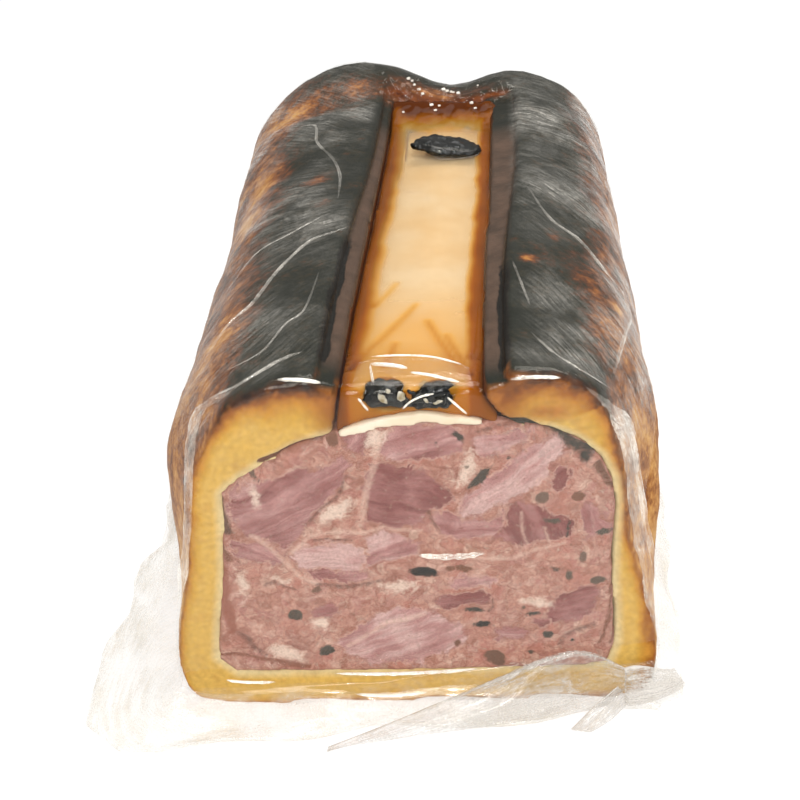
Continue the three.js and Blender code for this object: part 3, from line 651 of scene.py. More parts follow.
def pressed_meat():
    """Cured ham pieces pressed in pork forcemeat and sliced: moist, with fine fibres and soft marbling in
    the ham, a coarse paste of small pieces between, white fat and chopped black mushroom."""
    finish, tree = new_finish("pressed_ham_and_forcemeat")
    spot = add(tree, "TexCoord", out="Object")
    ham, tone, fat, bit, bit_tone, pale_seam, dark_seam, crack, crack_shade, rim = (
        add(tree, "Attribute", out="Fac", attribute_name=name) for name in MEAT_MARKS)
    grain = add(tree, "Attribute", out="Vector", attribute_name="grain")
    sway = add(tree, "TexNoise", {"Vector": spot, "Scale": per_mm(4.0), "Detail": 4.0}, out="Color")
    bent = add(tree, "VectorMath", {0: sway, 1: (0.006, 0.006, 0.006), 2: spot}, operation="MULTIPLY_ADD")
    chunk = add(tree, "TexVoronoi", {"Vector": bent, "Scale": per_mm(2.2)}, out="Color")
    kind = add(tree, "SeparateColor", {"Color": chunk}, out="Red")
    border = add(tree, "TexVoronoi", {"Vector": bent, "Scale": per_mm(5.5)}, feature="DISTANCE_TO_EDGE")
    fine = add(tree, "TexNoise", {"Vector": bent, "Scale": per_mm(0.8), "Detail": 4.0, "Roughness": 0.65})
    paste = add(tree, "TexNoise", {"Vector": bent, "Scale": per_mm(2.0), "Detail": 6.0, "Roughness": 0.68})
    blotch = add(tree, "TexNoise", {"Vector": spot, "Scale": per_mm(6.0), "Detail": 5.0})
    fibre = add(tree, "TexNoise", {"Vector": grain, "Scale": 1.0, "Detail": 5.0, "Roughness": 0.7})
    cloud = add(tree, "TexNoise", {"Vector": grain, "Scale": 0.3, "Detail": 4.0, "Distortion": 0.8})

    pieces = add(tree, "ValToRGB", {"Fac": kind}, stops=[
        (0.0, "#8a5243"), (0.3, "#ad7663"), (0.55, "#b98672"), (0.75, "#a0625a"), (1.0, "#ccab96")])
    mass = add(tree, "ValToRGB", {"Fac": paste}, stops=[
        (0.3, "#7a4638"), (0.5, "#b18070"), (0.7, "#d8b8a5")])
    force = add(tree, "Mix", {0: 0.55, 6: pieces, 7: mass}, **BLEND)
    warm = add(tree, "MapRange", {"Value": blotch, "From Min": 0.5, "From Max": 0.68, "To Max": 0.5},
               **SOFT)
    force = add(tree, "Mix", {0: warm, 6: force, 7: "#ab6858"}, **BLEND)
    creased = add(tree, "MapRange", {"Value": border, "From Min": 0.05, "From Max": 0.0, "To Max": 0.45},
                  **SOFT)
    force = add(tree, "Mix", {0: creased, 6: force, 7: "#87523f"}, **BLEND)

    tone_shift = add(tree, "MapRange", {"Value": cloud, **NOISE_RANGE, "To Min": -0.3, "To Max": 0.3})
    tone_blotch = add(tree, "MapRange", {"Value": blotch, **NOISE_RANGE, "To Min": -0.3, "To Max": 0.3})
    tone_here = add(tree, "Math", {0: tone, 1: tone_shift}, operation="ADD")
    tone_here = add(tree, "Math", {0: tone_here, 1: tone_blotch}, operation="ADD")
    flesh = add(tree, "ValToRGB", {"Fac": tone_here}, stops=[
        (0.0, "#c9a29a"), (0.35, "#b3827c"), (0.7, "#9a645f"), (1.0, "#814843")])
    streak = add(tree, "MapRange", {"Value": fibre, **NOISE_RANGE, "To Min": 0.78, "To Max": 1.08})
    flesh = add(tree, "Mix", {0: 1.0, 6: flesh, 7: streak}, blend_type="MULTIPLY", **BLEND)

    ragged = add(tree, "MapRange", {"Value": paste, **NOISE_RANGE, "To Min": -0.9, "To Max": 0.9})
    frayed = add(tree, "MapRange", {"Value": fine, **NOISE_RANGE, "To Min": -0.3, "To Max": 0.3})
    uneven = add(tree, "Math", {0: ragged, 1: frayed}, operation="ADD")
    ham_here = add(tree, "Math", {0: ham, 1: uneven}, operation="ADD")
    in_ham = add(tree, "MapRange", {"Value": ham_here, "From Min": -0.5, "From Max": 0.5}, **SOFT)
    colour = add(tree, "Mix", {0: in_ham, 6: force, 7: flesh}, **BLEND)
    off_edge = add(tree, "Math", {0: ham_here}, operation="ABSOLUTE")
    outline = add(tree, "MapRange", {"Value": off_edge, "From Min": 0.4, "From Max": 0.0, "To Max": 0.4},
                  **SOFT)
    outline_colour = add(tree, "ValToRGB", {"Fac": blotch}, stops=[(0.44, "#855040"), (0.56, "#d5b09e")])
    colour = add(tree, "Mix", {0: outline, 6: colour, 7: outline_colour}, **BLEND)
    fat_here = add(tree, "Math", {0: fat, 1: uneven}, operation="ADD")
    in_fat = add(tree, "MapRange", {"Value": fat_here, "From Min": -0.8, "From Max": 1.0, "To Max": 0.8},
                 **SOFT)
    colour = add(tree, "Mix", {0: in_fat, 6: colour, 7: "#dfc6b3"}, **BLEND)
    thready = add(tree, "MapRange", {"Value": fine, "From Min": 0.35, "From Max": 0.6, "To Min": 0.15,
                                     "To Max": 0.65})
    in_pale = add(tree, "Math", {0: pale_seam, 1: thready}, operation="MULTIPLY")
    colour = add(tree, "Mix", {0: in_pale, 6: colour, 7: "#d9b6a3"}, **BLEND)
    in_dark = add(tree, "Math", {0: dark_seam, 1: thready}, operation="MULTIPLY")
    colour = add(tree, "Mix", {0: in_dark, 6: colour, 7: "#4c3029"}, **BLEND)
    specks = add(tree, "MapRange", {"Value": fine, "From Min": 0.38, "From Max": 0.28, "To Max": 0.65},
                 **SOFT)
    colour = add(tree, "Mix", {0: specks, 6: colour, 7: "#714434"}, **BLEND)
    flakes = add(tree, "MapRange", {"Value": fine, "From Min": 0.6, "From Max": 0.72, "To Max": 0.6},
                 **SOFT)
    colour = add(tree, "Mix", {0: flakes, 6: colour, 7: "#dcc3b2"}, **BLEND)
    bit_edge = add(tree, "Math", {0: uneven, 1: 0.42, 2: bit}, operation="MULTIPLY_ADD")
    in_bit = add(tree, "MapRange", {"Value": bit_edge, "From Min": -0.25, "From Max": 0.2}, **SOFT)
    bit_colour = add(tree, "ValToRGB", {"Fac": bit_tone}, stops=[
        (0.35, "#7a4428"), (0.5, "#6b5244"), (0.65, "#4f4438"), (0.8, "#38332b"), (1.0, "#120f0c")])
    colour = add(tree, "Mix", {0: in_bit, 6: colour, 7: bit_colour}, **BLEND)
    skin_edge = add(tree, "Math", {0: uneven, 1: 0.5, 2: rim}, operation="MULTIPLY_ADD")
    browned = add(tree, "MapRange", {"Value": skin_edge, "From Min": 1.1, "From Max": 0.0, "To Max": 0.55},
                  **SOFT)
    colour = add(tree, "Mix", {0: browned, 6: colour, 7: "#85533f"}, **BLEND)
    # Cracks against the crust, darkened with painted shade
    in_crack = add(tree, "Math", {0: frayed, 1: 1.2, 2: crack}, operation="MULTIPLY_ADD", use_clamp=True)
    crack_colour = add(tree, "ValToRGB", {"Fac": crack_shade}, stops=CRACK_SHADE_STOPS)
    colour = add(tree, "Mix", {0: in_crack, 6: colour, 7: crack_colour}, **BLEND)
    grit = add(tree, "TexNoise", {"Vector": spot, "Scale": per_mm(0.45), "Detail": 2.0, "Roughness": 0.6})
    gritty = add(tree, "MapRange", {"Value": grit, **NOISE_RANGE, "To Min": 0.86, "To Max": 1.1})
    colour = add(tree, "Mix", {0: 1.0, 6: colour, 7: gritty}, blend_type="MULTIPLY", **BLEND)
    height = add(tree, "Math", {0: paste, 1: fibre}, operation="ADD")
    normal = add(tree, "Bump", {"Height": height, "Strength": 0.3, "Distance": 0.0003})
    surface = add(tree, "BsdfPrincipled", {"Base Color": colour, "Roughness": 0.42, "Normal": normal,
                                           "IOR": 1.4})
    add(tree, "OutputMaterial", {"Surface": surface})
    return finish


def barding_fat():
    """Raw back fat laid over the meat and cooked: creamy white, waxy, faintly mottled."""
    finish, tree = new_finish("cooked_barding_fat")
    spot = add(tree, "TexCoord", out="Object")
    mottle = add(tree, "TexNoise", {"Vector": spot, "Scale": per_mm(9.0), "Detail": 5.0})
    colour = add(tree, "ValToRGB", {"Fac": mottle}, stops=[(0.3, "#e2ccab"), (0.7, "#ecdcc4")])
    normal = add(tree, "Bump", {"Height": mottle, "Strength": 0.2, "Distance": 0.0004})
    surface = add(tree, "BsdfPrincipled", {"Base Color": colour, "Roughness": 0.4, "Normal": normal,
                                           "IOR": 1.46})
    add(tree, "OutputMaterial", {"Surface": surface})
    return finish


def amber_aspic():
    """Clear meat jelly poured in warm and set: glossy, amber where it is deep, pale where it is thin over
    the fat, and a deeper amber painted as shade along the film folds pressed into it."""
    finish, tree = new_finish("poured_amber_aspic")
    spot = add(tree, "TexCoord", out="Object")
    amber = add(tree, "Attribute", out="Fac", attribute_name="amber")
    cloudy = add(tree, "TexNoise", {"Vector": spot, "Scale": per_mm(14.0), "Detail": 4.0})
    shift = add(tree, "MapRange", {"Value": cloudy, **NOISE_RANGE, "To Min": -0.05, "To Max": 0.05})
    amber = add(tree, "Math", {0: amber, 1: shift}, operation="ADD")
    clear = add(tree, "ValToRGB", {"Fac": amber}, stops=[
        (0.0, "#fff8ea"), (0.3, "#fde0a6"), (0.6, "#eeb858"), (0.8, "#d68f2a"), (1.0, "#7a3d10")])
    body = add(tree, "ValToRGB", {"Fac": amber}, stops=[
        (0.0, "#f6deb4"), (0.3, "#ecbb66"), (0.6, "#c98a2d"), (0.8, "#b0640f"), (1.0, "#6a3410")])
    through = add(tree, "BsdfTransparent", {"Color": clear})
    surface = add(tree, "BsdfPrincipled", {"Base Color": body, "Roughness": 0.12, "IOR": 1.25})
    cloud = add(tree, "MapRange", {"Value": amber, "To Min": 0.3, "To Max": 0.6})
    both = add(tree, "MixShader", {0: cloud, 1: through, 2: surface})
    add(tree, "OutputMaterial", {"Surface": both})
    return finish


def wet_mushroom():
    """Black trumpet mushroom soaked in jelly: nearly black, wet, with a painted blue-grey sheen on its
    folds.
    """
    finish, tree = new_finish("wet_black_mushroom")
    spot = add(tree, "TexCoord", out="Object")
    fold = add(tree, "TexNoise", {"Vector": spot, "Scale": per_mm(1.2), "Detail": 4.0})
    # The blue-grey top of the ramp is a painted sheen on the folds
    colour = add(tree, "ValToRGB", {"Fac": fold}, stops=[
        (0.35, "#040504"), (0.6, "#0c0f0e"), (0.75, "#2b3333")])
    normal = add(tree, "Bump", {"Height": fold, "Strength": 0.5, "Distance": 0.0004})
    surface = add(tree, "BsdfPrincipled", {"Base Color": colour, "Roughness": 0.25, "Normal": normal,
                                           "IOR": 1.4})
    add(tree, "OutputMaterial", {"Surface": surface})
    return finish


def pale_pip():
    """Cooked nut kernel, sliced: cream mottled with brown, faintly waxy."""
    finish, tree = new_finish("sliced_pale_kernel")
    spot = add(tree, "TexCoord", out="Object")
    mottle = add(tree, "TexNoise", {"Vector": spot, "Scale": per_mm(1.6), "Detail": 3.0})
    colour = add(tree, "ValToRGB", {"Fac": mottle}, stops=[(0.34, "#8d7c58"), (0.62, "#d2ccbb")])
    surface = add(tree, "BsdfPrincipled", {"Base Color": colour, "Roughness": 0.35, "IOR": 1.45})
    add(tree, "OutputMaterial", {"Surface": surface})
    return finish


FILM_WHITE = "#e8e2d6"
# Greyer body for the loose film, as painted shade against the bright floor
FILM_SHADED_GREY = "#cfc9c1"


def clear_film(name, body, painted_glow):
    """Polyamide and polyethylene vacuum film, blown and drawn tight: clear and glossy, faintly milky in
    patches and in fine soft lines along the pull, and whiter where it is folded. Where it is very milky
    it stands for painted highlights, and the milky parts are given a painted glow by emission."""
    finish, tree = new_finish(name)
    spot = add(tree, "TexCoord", out="Object")
    haze_and_glint = add(tree, "Attribute", out="Fac", attribute_name="haze_and_glint")
    pull = add(tree, "Attribute", out="Vector", attribute_name="pull")
    patch = add(tree, "TexNoise", {"Vector": spot, "Scale": per_mm(11.0), "Detail": 5.0, "Roughness": 0.6,
                                   "Distortion": 0.5})
    band = add(tree, "TexNoise", {"Vector": pull, "Scale": 0.5, "Detail": 5.0, "Roughness": 0.6,
                                  "Distortion": 0.5})
    thread = add(tree, "TexNoise", {"Vector": pull, "Scale": 3.2, "Detail": 6.0, "Roughness": 0.75})
    sand = add(tree, "TexNoise", {"Vector": spot, "Scale": per_mm(0.7), "Detail": 3.0, "Roughness": 0.7})
    patched = add(tree, "MapRange", {"Value": patch, "From Min": 0.32, "From Max": 0.68, "To Min": 0.25,
                                     "To Max": 1.75}, **SOFT)
    banded = add(tree, "MapRange", {"Value": band, "From Min": 0.34, "From Max": 0.68, "To Min": 0.75,
                                    "To Max": 1.25})
    threaded = add(tree, "MapRange", {"Value": thread, "From Min": 0.41, "From Max": 0.65, "To Min": 0.3,
                                      "To Max": 2.0})
    sanded = add(tree, "MapRange", {"Value": sand, **NOISE_RANGE, "To Min": 0.5, "To Max": 1.5})
    drawn = add(tree, "Math", {0: banded, 1: threaded}, operation="MULTIPLY")
    drawn = add(tree, "Math", {0: drawn, 1: patched}, operation="MULTIPLY")
    drawn = add(tree, "Math", {0: drawn, 1: sanded}, operation="MULTIPLY")
    white = add(tree, "Math", {0: haze_and_glint, 1: drawn}, operation="MULTIPLY", use_clamp=True)
    facing = add(tree, "LayerWeight", {"Blend": 0.5}, out="Facing")
    grazing = add(tree, "Math", {0: facing, 1: 5.0}, operation="POWER")
    gloss = add(tree, "Math", {0: grazing, 1: 0.07, 2: 0.03}, operation="MULTIPLY_ADD")
    cover = add(tree, "Math", {0: gloss, 1: white}, operation="ADD", use_clamp=True)
    mirror = add(tree, "Math", {0: gloss, 1: cover}, operation="DIVIDE", use_clamp=True)
    height = add(tree, "Math", {0: band, 1: thread}, operation="ADD")
    normal = add(tree, "Bump", {"Height": height, "Strength": 0.12, "Distance": 0.0004})
    # Emission gives the milky parts a painted glow
    film = add(tree, "BsdfPrincipled", {"Base Color": body, "Metallic": mirror, "Roughness": 0.06,
                                        "Normal": normal, "Emission Color": "#fff8ec",
                                        "Emission Strength": painted_glow})
    through = add(tree, "BsdfTransparent", {"Color": "#ffffff"})
    surface = add(tree, "MixShader", {0: cover, 1: through, 2: film})
    add(tree, "OutputMaterial", {"Surface": surface})
    return finish


def pale_floor():
    """Matt white paper sweep."""
    finish, tree = new_finish("matt_white_paper")
    spot = add(tree, "TexCoord", out="Object")
    fibre = add(tree, "TexNoise", {"Vector": spot, "Scale": per_mm(4.0), "Detail": 3.0})
    colour = add(tree, "ValToRGB", {"Fac": fibre}, stops=[(0.3, "#b3b3b2"), (0.7, "#b8b8b7")])
    surface = add(tree, "BsdfPrincipled", {"Base Color": colour, "Roughness": 0.9,
                                           "Emission Color": "#ffffff", "Emission Strength": 0.62})
    add(tree, "OutputMaterial", {"Surface": surface})
    return finish


# The crust
CRACK_TRACES = [(traced(line), width, tone) for line, width, tone in CRACKS]


def crack_at(spot):
    """How far a flat spot on the cut lies in a crack, 0 to 1, and how dark the painted shade in that crack
    is.
    """
    best = (0.0, 0.5)
    for trace, width, tone in CRACK_TRACES:
        if beside(spot, trace, 2.0 * width):
            best = max(best, (smooth(1.7 * width, 0.5 * width, off_line(spot, trace[0])), tone))
    return best


def skin_of_crust():
    """The crust's outer baked faces, to measure how deep a point lies under the skin."""
    form = copy_of("crust")
    inner = []
    for face in form.faces:
        middle = face.calc_center_median()
        outward = face.normal.x * middle.x + face.normal.z * (middle.z - HEART_HEIGHT)
        if face.normal.y < 0.5 and (outward < 0.0 or face.normal.y < -0.5):
            inner.append(face)
    bmesh.ops.delete(form, geom=inner, context="FACES")
    tree = BVHTree.FromBMesh(form)
    form.free()
    return tree


def browning(point, normal):
    """How far the oven took the skin there: 0 is golden and 1 is black."""
    top = smooth(56.0, 72.0, point.z) * smooth(0.1, 0.55, normal.z)
    flank = smooth(29.0, 44.0, abs(point.x - 1.0) + 4.0 * lumps(point, 14.0))
    end = smooth(0.2, 0.8, normal.y) * smooth(20.0, 70.0, point.z)
    side = 0.08 + 0.25 * smooth(6.0, 62.0, point.z) + 0.4 * end
    tone = blend(side, 1.0, top * (1.0 - 0.84 * flank)) + (0.06 + 0.18 * flank) * lumps(point, 7.0)
    if point.z > 55.0:
        for spot in SPOTS:
            tone += spot[4] * near_spot(point, spot)
    return min(max(tone, 0.0), 1.0)


def ledge_edges(point):
    """The outer edges of the ledges there, across the groove; the left narrows behind, the right widens."""
    change = smooth(45.0, 110.0, point.y)
    return LEFT_LIP - blend(4.0, 2.4, change), RIGHT_LIP + blend(5.0, 7.2, change)


def on_ledge(point):
    """1 on the thin ledges along the groove."""
    across = groove_x(point)
    left_edge, right_edge = ledge_edges(point)
    left = smooth(left_edge - 0.5, left_edge + 0.5, across) * (across < LEFT_LIP + 1.0)
    right = smooth(right_edge + 0.5, right_edge - 0.5, across) * (across > RIGHT_LIP - 1.0)
    run = smooth(132.0, 118.0, point.y) * smooth(3.0, 12.0, point.y)
    return max(left, right) * smooth(74.5, 75.5, point.z) * run


def shade_beside_ledge(point):
    """1 along the outer edges of the ledges, in their front halves, where the step down from the flap is
    painted black as its shadow.
    """
    across = groove_x(point) + 0.7 * lumps((point.y, 0.0, 0.0), 9.0)
    left_edge, right_edge = ledge_edges(point)
    left_run = smooth(4.0, 10.0, point.y) * smooth(70.0, 50.0, point.y)
    right_run = smooth(3.0, 8.0, point.y) * smooth(58.0, 40.0, point.y)
    left = smooth(1.6, 0.3, abs(across - left_edge)) * left_run
    right = smooth(1.7, 0.4, abs(across - right_edge)) * right_run
    return max(left, right) * smooth(74.0, 75.5, point.z)


def in_groove(point, depth):
    """1 on the jelly-soaked walls inside the groove."""
    inner = max(smooth(75.8, 74.6, point.z), smooth(138.0, 142.0, point.y))
    wall = inner * smooth(0.4, 1.4, depth) * smooth(60.0, 64.0, point.z)
    return between_flaps(point, 7.0) * wall * smooth(1.0, 4.0, point.y)


def soaked_tip(point):
    """How far jelly has browned the cut ends of the flaps beside the groove, and a stain further out."""
    left = smooth(-21.0, -14.5, point.x) * (point.x < 0.0)
    right = smooth(25.0, 15.0, point.x) * (point.x > 0.0)
    stain = near_spot(Vector((point.x, point.z)), STAIN)
    return max(0.9 * max(left, right) * smooth(65.0, 69.0, point.z), 0.75 * stain)


def by_groove(face):
    """Whether a face lies in or beside the groove."""
    middle = face.calc_center_median()
    return middle.z > 66.0 and -22.0 < groove_x(middle) < 22.0 and middle.y < 153.0


def make_crust():
    """The pastry case, with its mottled, lumpy skin, bulge and cut crumb."""
    form = remeshed(copy_of("crust"), CRUST_VOXEL)
    softened(form, 2)
    refined(form, on_cut)
    refined(form, lambda face: on_cut(face) or by_groove(face))
    solid = surface_of("crust")
    skin = skin_of_crust()
    meat = surface_of("filling")
    layer = {name: form.verts.layers.float.new(name) for name in CRUST_MARKS}
    for vert in form.verts:
        near_groove = smooth(24.0, 21.0, abs(groove_x(vert.co))) * smooth(64.0, 68.0, vert.co.z)
        if near_groove > 0.0:
            vert.co = vert.co.lerp(solid.find_nearest(vert.co)[0], near_groove)
        point = vert.co.copy()
        spot, normal, _, depth = skin.find_nearest(point)
        tone = browning(spot, normal)
        low_right = smooth(43.5, 47.0, point.x) * smooth(36.0, 16.0, point.z)
        scorch = 2.8 + 8.0 * tone * tone + 5.5 * low_right
        vert[layer["bake"]] = tone
        vert[layer["cut"]] = smooth(0.15, 0.7, depth) * smooth(6.0, 3.0, point.y - cut_y(point))
        vert[layer["rim"]] = blend(0.22 * (1.0 - tone), 1.0, min(depth / scorch, 1.0))
        vert[layer["from_meat"]] = meat.find_nearest(point)[3]
        vert[layer["soak"]] = in_groove(point, depth)
        vert[layer["ledge"]] = on_ledge(point)
        vert[layer["shaded_gap"]] = shade_beside_ledge(point)
        vert[layer["tip"]] = soaked_tip(point)
        if point.y < cut_y(point) + 1.5:
            vert[layer["crack"]], vert[layer["crack_shade"]] = crack_at(Vector((point.x, point.z)))
        if depth < 0.6:
            rough = 1.0 - 0.8 * near_groove
            vert.co += vert.normal * rough * (0.25 * lumps(point, 7.0) + 0.1 * lumps(point, 2.4))
        elif point.y < cut_y(point) + 1.5:
            vert.co.y += 0.7 * vert[layer["crack"]] * vert[layer["crack_shade"]] + 0.06 * lumps(point, 2.0)
        # A shallow dip under the painted shadow of the step
        vert.co.z -= 0.7 * vert[layer["shaded_gap"]]
        swell = near_spot(Vector((point.y, point.z)), SWELL)
        vert.co.x += SWELL_OUT * swell * smooth(44.0, 48.0, point.x)
        vert.co.z = max(vert.co.z, 0.0)
    place(form, "baked_crust", baked_pastry(), "crust")


# The filling
HAM_TRACES = [(traced(outline), turn, tone) for outline, turn, tone in HAM]
SEAM_TRACES = [(traced(line), width, tone) for line, width, tone in SEAMS]


def meat_block():
    """The filling's solid with a fine mesh on its front end alone."""
    front = copy_of("filling")
    cut = bmesh.ops.bisect_plane(front, geom=front.verts[:] + front.edges[:] + front.faces[:],
                                 plane_co=(0, MEAT_SLAB, 0), plane_no=(0, 1, 0), clear_outer=True)
    rim = [edge for edge in cut["geom_cut"] if isinstance(edge, bmesh.types.BMEdge)]
    bmesh.ops.holes_fill(front, edges=rim)
    front = remeshed(front, MEAT_VOXEL)
    softened(front, 2)
    rear = copy_of("filling")
    for form, clear in ((front, {"clear_outer": True}), (rear, {"clear_inner": True})):
        bmesh.ops.bisect_plane(form, geom=form.verts[:] + form.edges[:] + form.faces[:],
                               plane_co=(0, MEAT_JOIN, 0), plane_no=(0, 1, 0), **clear)
    work = mesh_of(rear, "work")
    front.from_mesh(work)
    bpy.data.meshes.remove(work)
    bmesh.ops.bridge_loops(front, edges=[edge for edge in front.edges if edge.is_boundary])
    refined(front, on_cut)
    return front


def most_inside(spot, ovals):
    """How far inside the nearest oval a spot lies, and that oval."""
    return max(((in_oval(spot, oval), oval) for oval in ovals), key=lambda pair: pair[0])


def ham_at(spot):
    """How far inside a ham piece a spot lies, the turn of its fibres and its depth of pink."""
    best = (-3.0, 0.0, 0.5)
    for trace, turn, tone in HAM_TRACES:
        if beside(spot, trace, 3.0):
            best = max(best, (in_outline(spot, trace[0]), turn, tone))
    return best


def seam_at(spot, kind):
    """How strongly a pale or dark seam shows at a spot, 0 to 1."""
    shown = 0.0
    for trace, width, tone in SEAM_TRACES:
        if tone == kind and beside(spot, trace, 2.0 * width):
            shown = max(shown, smooth(1.8 * width, 0.4 * width, off_line(spot, trace[0])))
    return shown


def make_filling():
    """The pressed meat, with its pieces, fat, mushroom bits and seams on the cut face."""
    form = meat_block()
    sides = copy_of("filling")
    bmesh.ops.delete(sides, geom=[face for face in sides.faces if face.normal.y < -0.5], context="FACES")
    sides = BVHTree.FromBMesh(sides)
    layer = {name: form.verts.layers.float.new(name) for name in MEAT_MARKS}
    grain = form.verts.layers.float_vector.new("grain")
    for vert in form.verts:
        point = vert.co.copy()
        vert[layer["fat"]] = vert[layer["bit"]] = vert[layer["ham"]] = -5.0
        if point.y > MEAT_JOIN - 0.5:
            vert.co.z -= MEAT_SINK * smooth(0.3, 0.8, vert.normal.z)
            continue
        rim = sides.find_nearest(point)[3]
        outward = Vector((point.x, 0.0, point.z - HEART_HEIGHT)).normalized()
        under_fat = smooth(15.0, 11.0, abs(point.x)) * smooth(60.0, 64.0, point.z)
        spread = MEAT_SPREAD * (1.0 - under_fat) * smooth(MEAT_JOIN - 0.5, 2.0, point.y)
        vert.co += outward * spread * smooth(2.2, 0.4, rim)
        if point.y > cut_y(point) + 2.0:
            continue
        bend = Vector((lumps(point, 6.0), lumps(point + Vector((50.0, 0.0, 0.0)), 6.0)))
        spot = Vector((point.x, point.z)) + 0.9 * bend
        near = Vector((point.x, point.z)) + 0.4 * bend
        inside, turn, tone = ham_at(spot)
        fat, _ = most_inside(spot, WHITE_FAT)
        bit, bit_oval = most_inside(near, BITS)
        pale = seam_at(near, 1)
        dark = seam_at(near, -1)
        vert[layer["ham"]] = inside
        vert[layer["tone"]] = tone
        vert[layer["fat"]] = fat
        vert[layer["bit"]] = bit
        vert[layer["bit_tone"]] = bit_oval[5]
        vert[layer["pale_seam"]] = pale
        vert[layer["dark_seam"]] = dark
        vert[layer["crack"]], vert[layer["crack_shade"]] = crack_at(near)
        vert[layer["rim"]] = rim
        along = Matrix.Rotation(math.radians(-turn), 2) @ spot
        vert[grain] = (along.x / 5.0, along.y / 0.7, tone * 9.0)
        raised = 0.3 * smooth(0.0, 2.5, inside) + 0.12 * lumps(point, 1.6) * smooth(0.5, -0.5, inside)
        # How strongly a crack's painted shade shows, which also sinks the face
        shaded_gap = vert[layer["crack"]] * vert[layer["crack_shade"]]
        sunk = 0.25 * dark + 0.12 * smooth(-0.1, 0.3, bit) - 0.1 * pale + 0.6 * shaded_gap
        vert.co.y += sunk - raised + 0.2 * smooth(1.0, 0.0, rim)
    place(form, "pressed_meat", pressed_meat(), "filling")


# What lies in the groove
def make_fat():
    """The strip of barding fat under the jelly, pressed a little into the meat below it."""
    form = copy_of("barding_fat")
    for vert in form.verts:
        vert.co.z -= FAT_SINK * smooth(-0.1, -0.5, vert.normal.z)
    form = remeshed(form, FAT_VOXEL)
    softened(form, 1)
    for vert in form.verts:
        point = vert.co.copy()
        covered = smooth(0.1, 0.5, vert.normal.z) * smooth(3.0, 9.0, point.y)
        vert.co += vert.normal * (0.08 * (1.0 + lumps(point, 8.0)) + 0.2 * covered)
        on_face = smooth(1.2, 0.4, point.y - cut_y(point))
        vert.co.y -= 0.4 * on_face
        thicker = 0.15 * math.copysign(1.0, vert.normal.z)
        wavy = 0.3 * lumps((point.x, 0.0, 0.0), 4.0)
        vert.co.z += on_face * (thicker + wavy)
    place(form, "barding_fat_strip", barding_fat(), "barding_fat")


def amber_at(point, normal):
    """How amber the jelly looks there: pale over the fat, deeper along its edges, ends and cut face."""
    across = groove_x(point) + 0.9 * lumps(point, 14.0)
    left = 0.86 * smooth(5.2, 1.0, across - LEFT_LIP)
    right = 0.84 * smooth(3.0, 0.8, RIGHT_LIP - across)
    front = 0.05 + 0.29 * smooth(52.0, 8.0, point.y)
    rear = smooth(133.0, 143.0, point.y + 2.0 * lumps(point, 5.0))
    cut = 0.66 * smooth(-0.3, -0.8, normal.y)
    return max(left, right, front, rear, cut)


def dished_end(point):
    """How far the jelly has crept up the groove's baked end, in mm, rough with dried drops."""
    creep = smooth(130.0, 146.0, point.y)
    return 4.6 * creep * creep + 0.5 * smooth(0.1, 0.4, creep) * lumps(point, 1.8)


def make_jelly():
    """The poured jelly, sunk a little into the fat below it, with film folds and bubbles on top, and
    painted shade along the folds.
    """
    form = copy_of("jelly")
    for vert in form.verts:
        vert.co.z -= JELLY_SINK * smooth(-0.2, -0.6, vert.normal.z) * smooth(3.0, 9.0, vert.co.y)
    form = remeshed(form, JELLY_VOXEL)
    softened(form, 2)
    amber = form.verts.layers.float.new("amber")
    folds = [flat(line) for line in JELLY_FOLDS]
    for vert in form.verts:
        point = vert.co.copy()
        vert[amber] = amber_at(point, vert.normal)
        if vert.normal.z < 0.4:
            continue
        spot = Vector((point.x, point.y))
        off = min(off_line(spot, line) for line in folds)
        pressed = math.exp(-(off / JELLY_FOLD_WIDTH) ** 2)
        # Painted shade along the folds, as deeper amber
        vert[amber] = min(vert[amber] + 0.26 * pressed, 1.0)
        vert.co.z += dished_end(point) - 0.15 * pressed
        for x, y, reach_x, reach_y in BUBBLES:
            away = math.hypot((point.x - x) / reach_x, (point.y - y) / reach_y)
            vert.co.z += 0.35 * smooth(1.0, 0.4, away)
    place(form, "poured_jelly", amber_aspic(), "jelly")


def scraps(ovals, lift):
    """Small ragged ovals that stand out of the cut face by the given lift."""
    form = bmesh.new()
    for x, z, wide, high, turn in ovals:
        middle = Vector((x, 0.0, z))
        at = Matrix.Translation(middle + FRONT * (lift - cut_y(middle)))
        turned = Matrix.Rotation(math.radians(turn), 4, "Y")
        size = Matrix.Diagonal((wide, 0.35, high, 1.0))
        made = bmesh.ops.create_uvsphere(form, u_segments=20, v_segments=12, radius=1.0,
                                         matrix=at @ turned @ size)
        for vert in made["verts"]:
            aside = vert.co + Vector((9.0, 0.0, 0.0))
            vert.co += 0.4 * Vector((lumps(vert.co, 1.0), 0.0, lumps(aside, 1.0)))
    return form


def make_mushrooms():
    """The black mushrooms in the jelly, folded and wrinkled, their pale kernels and the shreds between."""
    finish = wet_mushroom()
    for node in ("mushroom_front_left", "mushroom_front_right", "mushroom_back"):
        form = remeshed(copy_of(node), MUSHROOM_VOXEL)
        softened(form, 1)
        for vert in form.verts:
            point = vert.co.copy()
            stretched = Vector((point.x / 3.0, point.y, point.z))
            vert.co += vert.normal * (0.85 * lumps(point, 3.2) + 0.3 * lumps(stretched, 1.0))
        place(form, node.replace("mushroom", "wet_mushroom"), finish, node)
    place(scraps(PIPS, lift=0.35), "mushroom_kernels", pale_pip())
    place(scraps(SHREDS, lift=0.1), "mushroom_shreds", finish)


